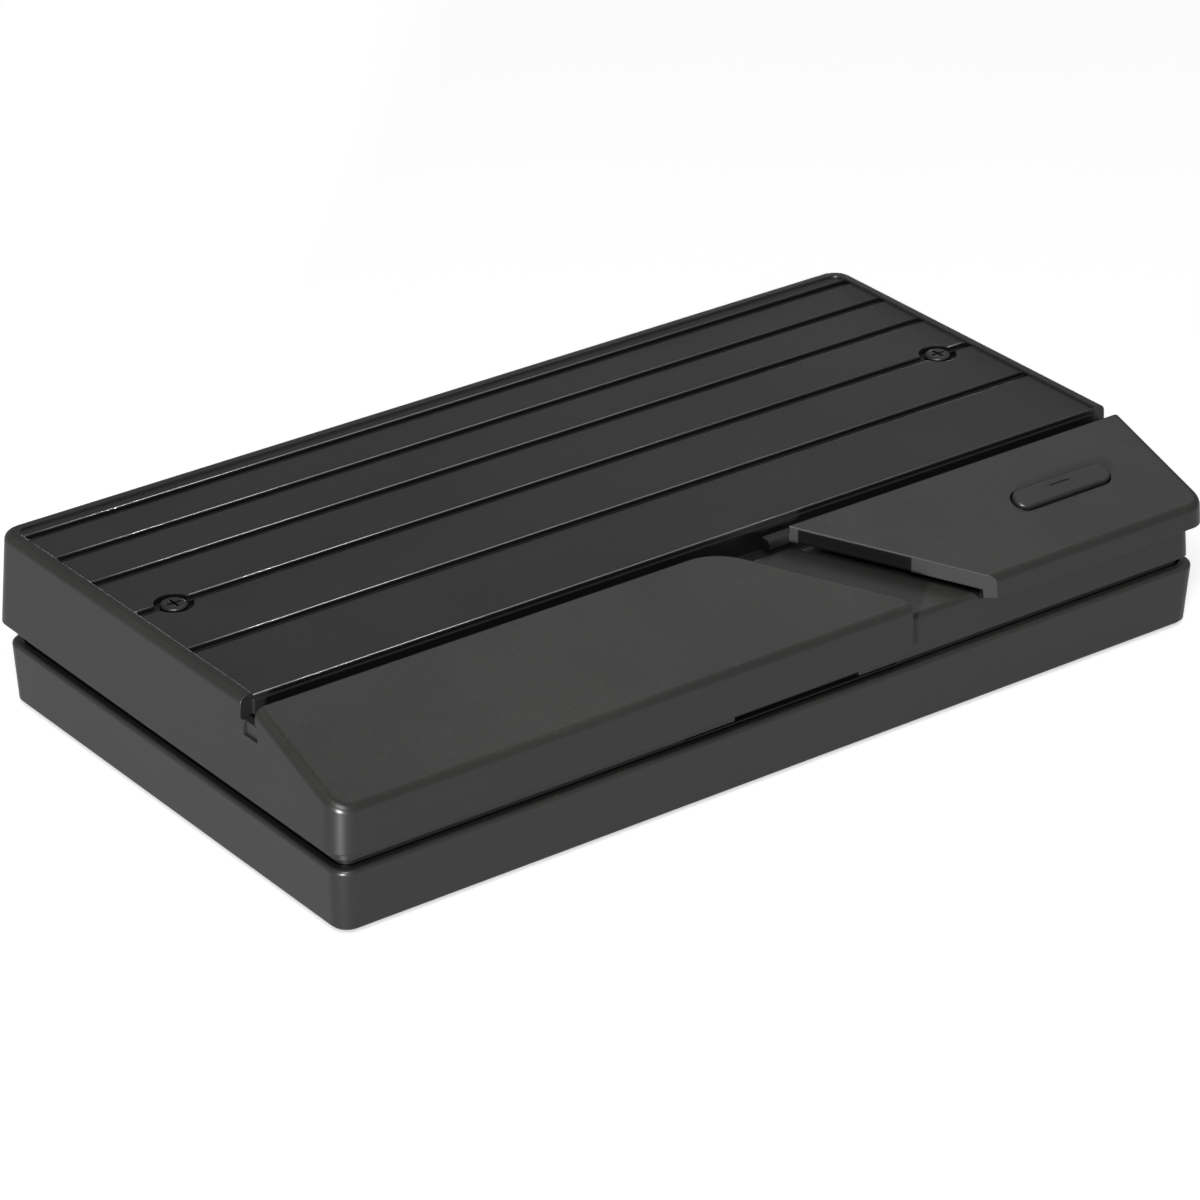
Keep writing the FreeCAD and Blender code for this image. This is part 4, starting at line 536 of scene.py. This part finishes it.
class RECEIVER_OT_slat_beads(Operator):
    """Fine polished beads that the mould leaves along the front edge of every slat, coloured light grey
    as a painted highlight
    """
    bl_idname = "receiver.slat_beads"
    bl_label = "Slat beads"

    def execute(self, context):
        look = context.scene.receiver_case
        low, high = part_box("top_cover")
        runs = self.runs(high[0] - RIM_WIDTH)
        points, quads, caps = self.beads(runs, high[2] - RIM_RISE, look.bead)
        # The beads' light grey colour is a painted highlight: black plastic made lighter to stand for
        # the light their edges catch.
        painted_highlight = plastic("Polished edge", (0.15, 0.15, 0.147), 0.16, look.grain * 4, 0.000001, 0.0,
                           specular=1.0)
        make_piece("slat_beads", points, quads, painted_highlight, caps=caps)
        return {"FINISHED"}

    def runs(self, half):
        """Where each bead starts and ends along X, and its Y. A bead stops short of a screw's recess."""
        low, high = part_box("cover_screws")
        screw_x, screw_y = high[0] - SCREW_HEAD_R, (low[1] + high[1]) / 2
        runs = []
        for y in SLAT_EDGES:
            reach = RECESS_R ** 2 - (y - screw_y) ** 2
            if reach > 0:
                stop = math.sqrt(reach)
                runs += [(-half, -screw_x - stop, y), (-screw_x + stop, screw_x - stop, y),
                         (screw_x + stop, half, y)]
            else:
                runs.append((-half, half, y))
        return np.array(runs)

    def beads(self, runs, deck, width):
        """Low half-round bar per run: its section is half a sine wave that stands on the deck."""
        t = np.linspace(0, 1, 9)
        x = np.linspace(0, 1, 3)
        points = np.empty((len(runs), len(x), len(t), 3))
        points[..., 0] = (runs[:, :1] + (runs[:, 1:2] - runs[:, :1]) * x)[:, :, None]
        points[..., 1] = (runs[:, 2:3] + width * t)[:, None, :]
        points[..., 2] = deck + 0.42 * width * np.sin(np.pi * t) - SUNK
        count = len(x) * len(t)
        quads = repeated(grid_quads(len(x), len(t)), len(runs), count)[:, ::-1]
        caps = []
        for first in range(0, len(runs) * count, count):
            last = first + count - 1
            caps.append(range(first, first + len(t)))
            caps.append(range(last, last - len(t), -1))
        return points, quads, caps


class RECEIVER_OT_button(Operator):
    """Power button with the switch that it presses"""
    bl_idname = "receiver.button"
    bl_label = "Power button"

    def execute(self, context):
        look = context.scene.receiver_case
        cap = plastic("Button black", look.button, look.gloss + 0.02, look.grain, look.relief, 0.0002,
                      look.dust)
        dress("power_button", cap)
        plunger = plastic("Plunger black", (0.02, 0.02, 0.02), 0.3, 0.0003, 0.000004, 0.0001)
        dress("switch_plunger", plunger)
        body = plastic("Switch body", (0.03, 0.03, 0.032), 0.45, 0.0003, 0.00001, 0.0001)
        dress("tact_switch", body)
        return {"FINISHED"}


class RECEIVER_OT_light_guide(Operator):
    """Smoked bar in the wing's end, with the lamp and the remote control's eye behind it"""
    bl_idname = "receiver.light_guide"
    bl_label = "Light guide"

    def execute(self, context):
        smoked = plastic("Smoked guide", (0.004, 0.004, 0.004), 0.12, 0.002, 0.000002, 0.00015, coat=0.6)
        dress("status_light_bar", smoked)
        dress("status_led", plastic("Lamp", (0.75, 0.74, 0.68), 0.2, 0.0006, 0.000004, 0.0001))
        eye = plastic("Dark epoxy", (0.012, 0.008, 0.01), 0.18, 0.001, 0.000003, 0.0001)
        dress("infrared_receiver", eye)
        return {"FINISHED"}


class RECEIVER_OT_boards(Operator):
    """Main board, front board, wireless boards and the ribbon between them"""
    bl_idname = "receiver.boards"
    bl_label = "Boards"

    def execute(self, context):
        look = context.scene.receiver_boards
        green = board("Board green", look.mask, look.copper, look.track)
        dress_all(["main_board", "front_board", "wifi_boards"], green)
        ivory = plastic("Ivory nylon", (0.62, 0.6, 0.52), 0.45, 0.0005, 0.00001, 0.0001)
        dress("ribbon_sockets", ivory)
        dress("ribbon_cable", self.ribbon())
        return {"FINISHED"}

    def ribbon(self):
        """White ribbon with a grey wire every few tenths of a millimetre."""
        new, tree, shader = material("Ribbon")
        lines = add(tree, "ShaderNodeTexWave", wave_type="BANDS", bands_direction="X")
        feed(tree, lines, Vector=place(tree), Scale=160.0, Distortion=0.0)
        stripes = ramp(tree, lines.outputs["Fac"], 0.55, 0.7)
        tone = blend(tree, stripes, (0.66, 0.66, 0.63), (0.42, 0.43, 0.45))
        tree.links.new(tone, shader.inputs["Base Color"])
        tree.links.new(ramp(tree, stripes, 0.0, 1.0, 0.4, 0.3), shader.inputs["Roughness"])
        raise_surface(tree, shader, stripes, 0.00004, 0.0)
        return new


class RECEIVER_OT_chips(Operator):
    """Processor, memory, coils, capacitors and the heat sink on its pad"""
    bl_idname = "receiver.chips"
    bl_label = "Chips and heat sink"

    def execute(self, context):
        epoxy = plastic("Chip epoxy", (0.02, 0.02, 0.021), 0.5, 0.00025, 0.000012, 0.0001)
        dress_all(["processor", "memory_chips", "power_coils"], epoxy)
        dress("thermal_pad", plastic("Thermal pad", (0.28, 0.33, 0.4), 0.6, 0.0008, 0.00003, 0.0002))
        dress("heat_sink", metal("Anodised aluminium", (0.5, 0.51, 0.52), 0.42, 2500.0, 50.0))
        dress("capacitors", metal("Drawn aluminium", (0.68, 0.68, 0.69), 0.25, 600.0, 600.0))
        return {"FINISHED"}


class RECEIVER_OT_sockets(Operator):
    """Shells, cans and plastic bodies of the sockets at the back, and the card reader"""
    bl_idname = "receiver.sockets"
    bl_label = "Sockets"

    def execute(self, context):
        look = context.scene.receiver_metals
        tin = metal("Tinned steel", look.tin, 0.28)
        dress_all(["tuner_can", "hdmi_socket", "usb_sockets", "service_socket", "card_reader"], tin)
        body = plastic("Socket black", (0.014, 0.014, 0.015), 0.35, 0.0004, 0.00001, 0.0002)
        dress_all(["network_socket", "optical_socket", "power_jack"], body)
        flap = plastic("Shutter grey", (0.05, 0.05, 0.053), 0.4, 0.0004, 0.00001, 0.00015)
        dress("optical_shutter", flap)
        return {"FINISHED"}


class RECEIVER_OT_screws(Operator):
    """Blackened and plated screws"""
    bl_idname = "receiver.screws"
    bl_label = "Screws"

    def execute(self, context):
        look = context.scene.receiver_metals
        black = metal("Blackened steel", look.screw, 0.38, 900.0, 900.0)
        dress_all(["cover_screws", "case_screws"], black)
        plated = metal("Zinc plate", look.tin, 0.3, 900.0, 900.0)
        dress_all(["board_screws", "front_board_screws"], plated)
        return {"FINISHED"}


class RECEIVER_OT_aerial_sockets(Operator):
    """Threaded aerial sockets with their insulators, in place of the plain barrels"""
    bl_idname = "receiver.aerial_sockets"
    bl_label = "Aerial sockets"

    def execute(self, context):
        look = context.scene.receiver_metals
        nickel = metal("Nickel plate", look.nickel, 0.22, 1200.0, 1200.0, edge=0.0001)
        ivory = plastic("Insulator", (0.72, 0.7, 0.64), 0.35, 0.0005, 0.000006, 0.0001)
        dress("aerial_nuts", nickel)
        for node in ("aerial_socket_left", "aerial_socket_right"):
            low, high = (np.array(corner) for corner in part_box(node))
            centre = np.array([(low[0] + high[0]) / 2, 0.0, (low[2] + high[2]) / 2])
            piece = self.barrel(node, centre, low, high, context.scene.receiver_threads, nickel)
            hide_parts(node)
            self.insulator(node, centre, high[1], ivory)
        return {"FINISHED"}

    def barrel(self, node, centre, low, high, sizes, nickel):
        """Barrel turned from a collar at the back, a thread, a bevelled tip and a bore."""
        back, tip = low[1], high[1]
        collar = (high[0] - low[0]) / 2
        shoulder, last = back + AERIAL_COLLAR, tip - AERIAL_BEVEL
        crest, bottom = AERIAL_CREST_R, tip - AERIAL_DEPTH
        steps = [(0.0, back), (collar, back), (collar, shoulder), (crest, shoulder)]
        steps += [(crest, y) for y in np.arange(shoulder, last, sizes.pitch / 10)[1:]]
        steps += [(crest, last), (crest - AERIAL_BEVEL, tip), (crest - AERIAL_RING, tip)]
        steps += [(AERIAL_BORE_R, tip - AERIAL_LIP), (AERIAL_BORE_R, bottom), (0.0, bottom)]
        profile = np.array(steps)
        on_crest = profile[:, :1] == crest

        def winding(angle, y):
            """Depth below the crest: a triangle wave of the distance along, less the turn made so far.
            It fades in at both ends of the thread."""
            turn = (y / sizes.pitch - angle / (2 * np.pi)) % 1.0
            groove = 1.0 - np.abs(2.0 * turn - 1.0)
            fade = np.clip((y - shoulder - 0.2 * MM) / (0.6 * MM), 0, 1)
            fade = fade * np.clip((last - y) / (0.3 * MM), 0, 1)
            return -sizes.depth * groove * fade * on_crest

        points, quads = turned(profile, sizes.sides, centre, winding)
        return make_piece(node.replace("socket", "thread"), points, quads, nickel, smooth=False)

    def insulator(self, node, centre, tip, ivory):
        """Ring in the bore, round the hole of the centre contact."""
        points, quads = turned(INSULATOR + [0.0, tip], 48, centre)
        name = node.replace("socket", "insulator")
        make_piece(name, points, quads, ivory, smooth=False)


class RECEIVER_OT_contacts(Operator):
    """Gold contacts inside the network socket and the USB sockets"""
    bl_idname = "receiver.contacts"
    bl_label = "Socket contacts"

    def execute(self, context):
        look = context.scene.receiver_metals
        gold = metal("Contact gold", look.gold, 0.2, 500.0, 500.0, edge=0.0)
        self.network(gold)
        self.usb(gold)
        return {"FINISHED"}

    def network(self, gold):
        """Eight sprung wires that come forward from the roof of the mouth and bend down and back."""
        low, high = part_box("network_socket")
        x = (low[0] + high[0]) / 2 + self.row(NETWORK_WIRES, NETWORK_PITCH)
        t = np.linspace(0, 1, 14)
        y = high[1] - (2.4 + 7.6 * t) * MM
        z = low[2] + (11.2 - 4.6 * np.sin(np.pi * np.clip(t * 0.62, 0, 0.5)) * t) * MM
        self.lay("network_contacts", x, y, z, NETWORK_WIDTH, NETWORK_THICKNESS, gold)

    def usb(self, gold):
        """Four flat contacts side by side under each tongue."""
        low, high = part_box("usb_sockets")
        middles = np.array([low[0] + USB_SOCKET / 2, high[0] - USB_SOCKET / 2])
        x = (middles[:, None] + self.row(USB_WIRES, USB_PITCH)).reshape(-1)
        y = high[1] - np.linspace(3.2, 10.5, 6) * MM
        z = np.full(6, low[2] + USB_TONGUE)
        self.lay("usb_contacts", x, y, z, USB_WIDTH, USB_THICKNESS, gold)

    def row(self, count, pitch):
        """Evenly spaced places about zero."""
        return (np.arange(count) - (count - 1) / 2) * pitch

    def lay(self, name, x, y, z, width, thickness, gold):
        """One strip for each x, all along the same path of y and z."""
        paths = np.stack(np.broadcast_arrays(x[:, None], y[None, :], z[None, :]), -1)
        points, quads, caps = strips(paths, width, thickness)
        make_piece(name, points, quads, gold, caps=caps, smooth=False)


class RECEIVER_OT_small_parts(Operator):
    """Rows of chip resistors and capacitors soldered to the main board"""
    bl_idname = "receiver.small_parts"
    bl_label = "Small board parts"

    def execute(self, context):
        low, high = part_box("main_board")
        spots = self.spots(low, high)
        rng = np.random.default_rng(7)
        halves = np.tile(CHIP_HALF, (len(spots), 1))
        halves[:, 2] *= 0.8 + 0.4 * rng.random(len(spots))
        centres = np.column_stack([spots, high[2] + halves[:, 2]])
        ceramic = plastic("Ceramic", (0.16, 0.12, 0.08), 0.4, 0.0004, 0.000005, 0.00005)
        points, quads, caps = bricks(centres, halves)
        make_piece("chip_parts", points, quads, ceramic, caps=caps)
        solder = metal("Solder", (0.6, 0.6, 0.6), 0.3, 600.0, 600.0, edge=0.0)
        ends = np.concatenate([centres + CHIP_END, centres - CHIP_END])
        sizes = np.tile(halves * [0.3, 1.04, 1.0], (2, 1))
        points, quads, caps = bricks(ends, sizes, 0.5, 10, 7)
        make_piece("chip_part_ends", points, quads, solder, caps=caps)
        return {"FINISHED"}

    def spots(self, low, high):
        """A column on either side of the processor, and a row in front of the sockets."""
        chip_low, chip_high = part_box("processor")
        column = np.linspace(chip_low[1], chip_high[1], CHIPS_IN_COLUMN)
        left = np.full(CHIPS_IN_COLUMN, chip_low[0] - COLUMN_GAP)
        right = np.full(CHIPS_IN_COLUMN, chip_high[0] + COLUMN_GAP)
        row = np.linspace(low[0] + ROW_LEFT, high[0] - ROW_RIGHT, CHIPS_IN_ROW)
        front = np.full(CHIPS_IN_ROW, high[1] - ROW_BACK)
        x = np.concatenate([left, right, row])
        y = np.concatenate([column, column, front])
        return np.column_stack([x, y])


class RECEIVER_OT_stage(Operator):
    """Pale floor, soft lights, and the camera where the photograph was taken from"""
    bl_idname = "receiver.stage"
    bl_label = "Stage"

    def execute(self, context):
        look = context.scene.receiver_stage
        scene = context.scene
        scene.view_settings.view_transform = "Standard"
        self.world(scene, look)
        self.floor(scene, look)
        for name, (size, where) in LIGHTS.items():
            self.lamp(scene, name + "_light", getattr(look, name), size, where)
        self.camera(scene)
        return {"FINISHED"}

    def world(self, scene, look):
        world = bpy.data.worlds.new("Studio")
        world.use_nodes = True
        scene.world = world
        tree = world.node_tree
        base = tree.nodes["Background"]
        base.inputs["Color"].default_value = (1.0, 1.0, 1.0, 1.0)
        base.inputs["Strength"].default_value = look.ambient
        seen = add(tree, "ShaderNodeBackground")
        seen.inputs["Strength"].default_value = 1.0
        mix = add(tree, "ShaderNodeMixShader")
        tree.links.new(self.seen_by(tree, look.mirrored), mix.inputs[0])
        tree.links.new(base.outputs[0], mix.inputs[1])
        tree.links.new(seen.outputs[0], mix.inputs[2])
        tree.links.new(mix.outputs[0], tree.nodes["World Output"].inputs["Surface"])

    def seen_by(self, tree, mirrored):
        """1 for rays from the camera and through glass, and a share of it for rays off gloss."""
        path = add(tree, "ShaderNodeLightPath")
        seen = path.outputs["Is Camera Ray"]
        through = path.outputs["Is Transmission Ray"]
        gloss = maths(tree, "MULTIPLY", path.outputs["Is Glossy Ray"], mirrored)
        return maths(tree, "MAXIMUM", maths(tree, "MAXIMUM", seen, through), gloss)

    def floor(self, scene, look):
        reach = FLOOR_REACH
        corners = [(-reach, -reach, 0), (reach, -reach, 0), (reach, reach, 0), (-reach, reach, 0)]
        mesh = bpy.data.meshes.new("floor")
        mesh.from_pydata(corners, [], [(0, 1, 2, 3)])
        new, tree, shader = material("Pale floor")
        tone = noise(tree, place(tree), 8.0, 2.0, 0.5)
        pale = blend(tree, tone, look.floor, tuple(c * 0.98 for c in look.floor))
        tree.links.new(pale, shader.inputs["Base Color"])
        shader.inputs["Roughness"].default_value = 0.9
        shader.inputs["Specular IOR Level"].default_value = 0.1
        lift = maths(tree, "MULTIPLY", self.seen_by(tree, look.mirrored), look.lift)
        tree.links.new(lift, shader.inputs["Emission Strength"])
        shader.inputs["Emission Color"].default_value = (1, 1, 1, 1)
        mesh.materials.append(new)
        floor = bpy.data.objects.new("floor", mesh)
        scene.collection.objects.link(floor)

    def lamp(self, scene, name, power, size, where):
        """Round soft light that looks at the receiver from where it hangs."""
        data = bpy.data.lights.new(name, "AREA")
        data.shape = "DISK"
        data.size = size
        data.energy = power
        lamp = bpy.data.objects.new(name, data)
        back = np.array(where) / np.linalg.norm(where)
        side = np.cross([0, 0, 1.0], back)
        side /= np.linalg.norm(side)
        up = np.cross(back, side)
        turn = np.eye(4)
        turn[:3, 0], turn[:3, 1], turn[:3, 2], turn[:3, 3] = side, up, back, where
        lamp.matrix_world = Matrix(turn.tolist())
        scene.collection.objects.link(lamp)

    def camera(self, scene):
        """Camera where the photograph was taken from."""
        yaw, pitch, roll = (math.radians(a) for a in CAMERA_TURN)
        level_part = math.cos(pitch)
        ahead = np.array([math.sin(yaw) * level_part, math.cos(yaw) * level_part, -math.sin(pitch)])
        level = np.array([math.cos(yaw), -math.sin(yaw), 0.0])
        down = np.cross(ahead, level)
        right = math.cos(roll) * level + math.sin(roll) * down
        below = math.cos(roll) * down - math.sin(roll) * level
        turn = np.eye(4)
        turn[:3, 0], turn[:3, 1], turn[:3, 2] = right, -below, -ahead
        turn[:3, 3] = CAMERA_PLACE
        data = bpy.data.cameras.new("camera")
        data.sensor_width = SENSOR
        data.lens = SENSOR * FOCAL / PICTURE
        data.clip_start = 0.05
        data.clip_end = 50.0
        camera = bpy.data.objects.new("camera", data)
        camera.matrix_world = Matrix(turn.tolist())
        scene.collection.objects.link(camera)
        scene.camera = camera


OPERATORS = (
    RECEIVER_OT_effects,
    RECEIVER_OT_case,
    RECEIVER_OT_slat_beads,
    RECEIVER_OT_button,
    RECEIVER_OT_light_guide,
    RECEIVER_OT_boards,
    RECEIVER_OT_chips,
    RECEIVER_OT_sockets,
    RECEIVER_OT_screws,
    RECEIVER_OT_aerial_sockets,
    RECEIVER_OT_contacts,
    RECEIVER_OT_small_parts,
    RECEIVER_OT_stage,
)


class RECEIVER_PT_panel(Panel):
    """Sidebar panel that lists the receiver's operators and values"""
    bl_idname = "RECEIVER_PT_panel"
    bl_label = "Satellite receiver"
    bl_space_type = "VIEW_3D"
    bl_region_type = "UI"
    bl_category = "Receiver"

    def draw(self, context):
        for operator in OPERATORS:
            self.layout.operator(operator.bl_idname)
        for name, kind in GROUPS:
            values = getattr(context.scene, name)
            column = self.layout.box().column()
            for key in kind.__annotations__:
                column.prop(values, key)


GROUPS = (
    ("receiver_case", ReceiverCase),
    ("receiver_boards", ReceiverBoards),
    ("receiver_metals", ReceiverMetals),
    ("receiver_threads", ReceiverThreads),
    ("receiver_stage", ReceiverStage),
)


def register():
    for name, kind in GROUPS:
        bpy.utils.register_class(kind)
        setattr(bpy.types.Scene, name, PointerProperty(type=kind))
    for kind in (*OPERATORS, RECEIVER_PT_panel):
        bpy.utils.register_class(kind)


def unregister():
    for kind in (RECEIVER_PT_panel, *reversed(OPERATORS)):
        bpy.utils.unregister_class(kind)
    for name, kind in reversed(GROUPS):
        delattr(bpy.types.Scene, name)
        bpy.utils.unregister_class(kind)


def main():
    register()
    for operator in OPERATORS:
        space, name = operator.bl_idname.split(".")
        getattr(getattr(bpy.ops, space), name)()


if __name__ == "__main__":
    main()
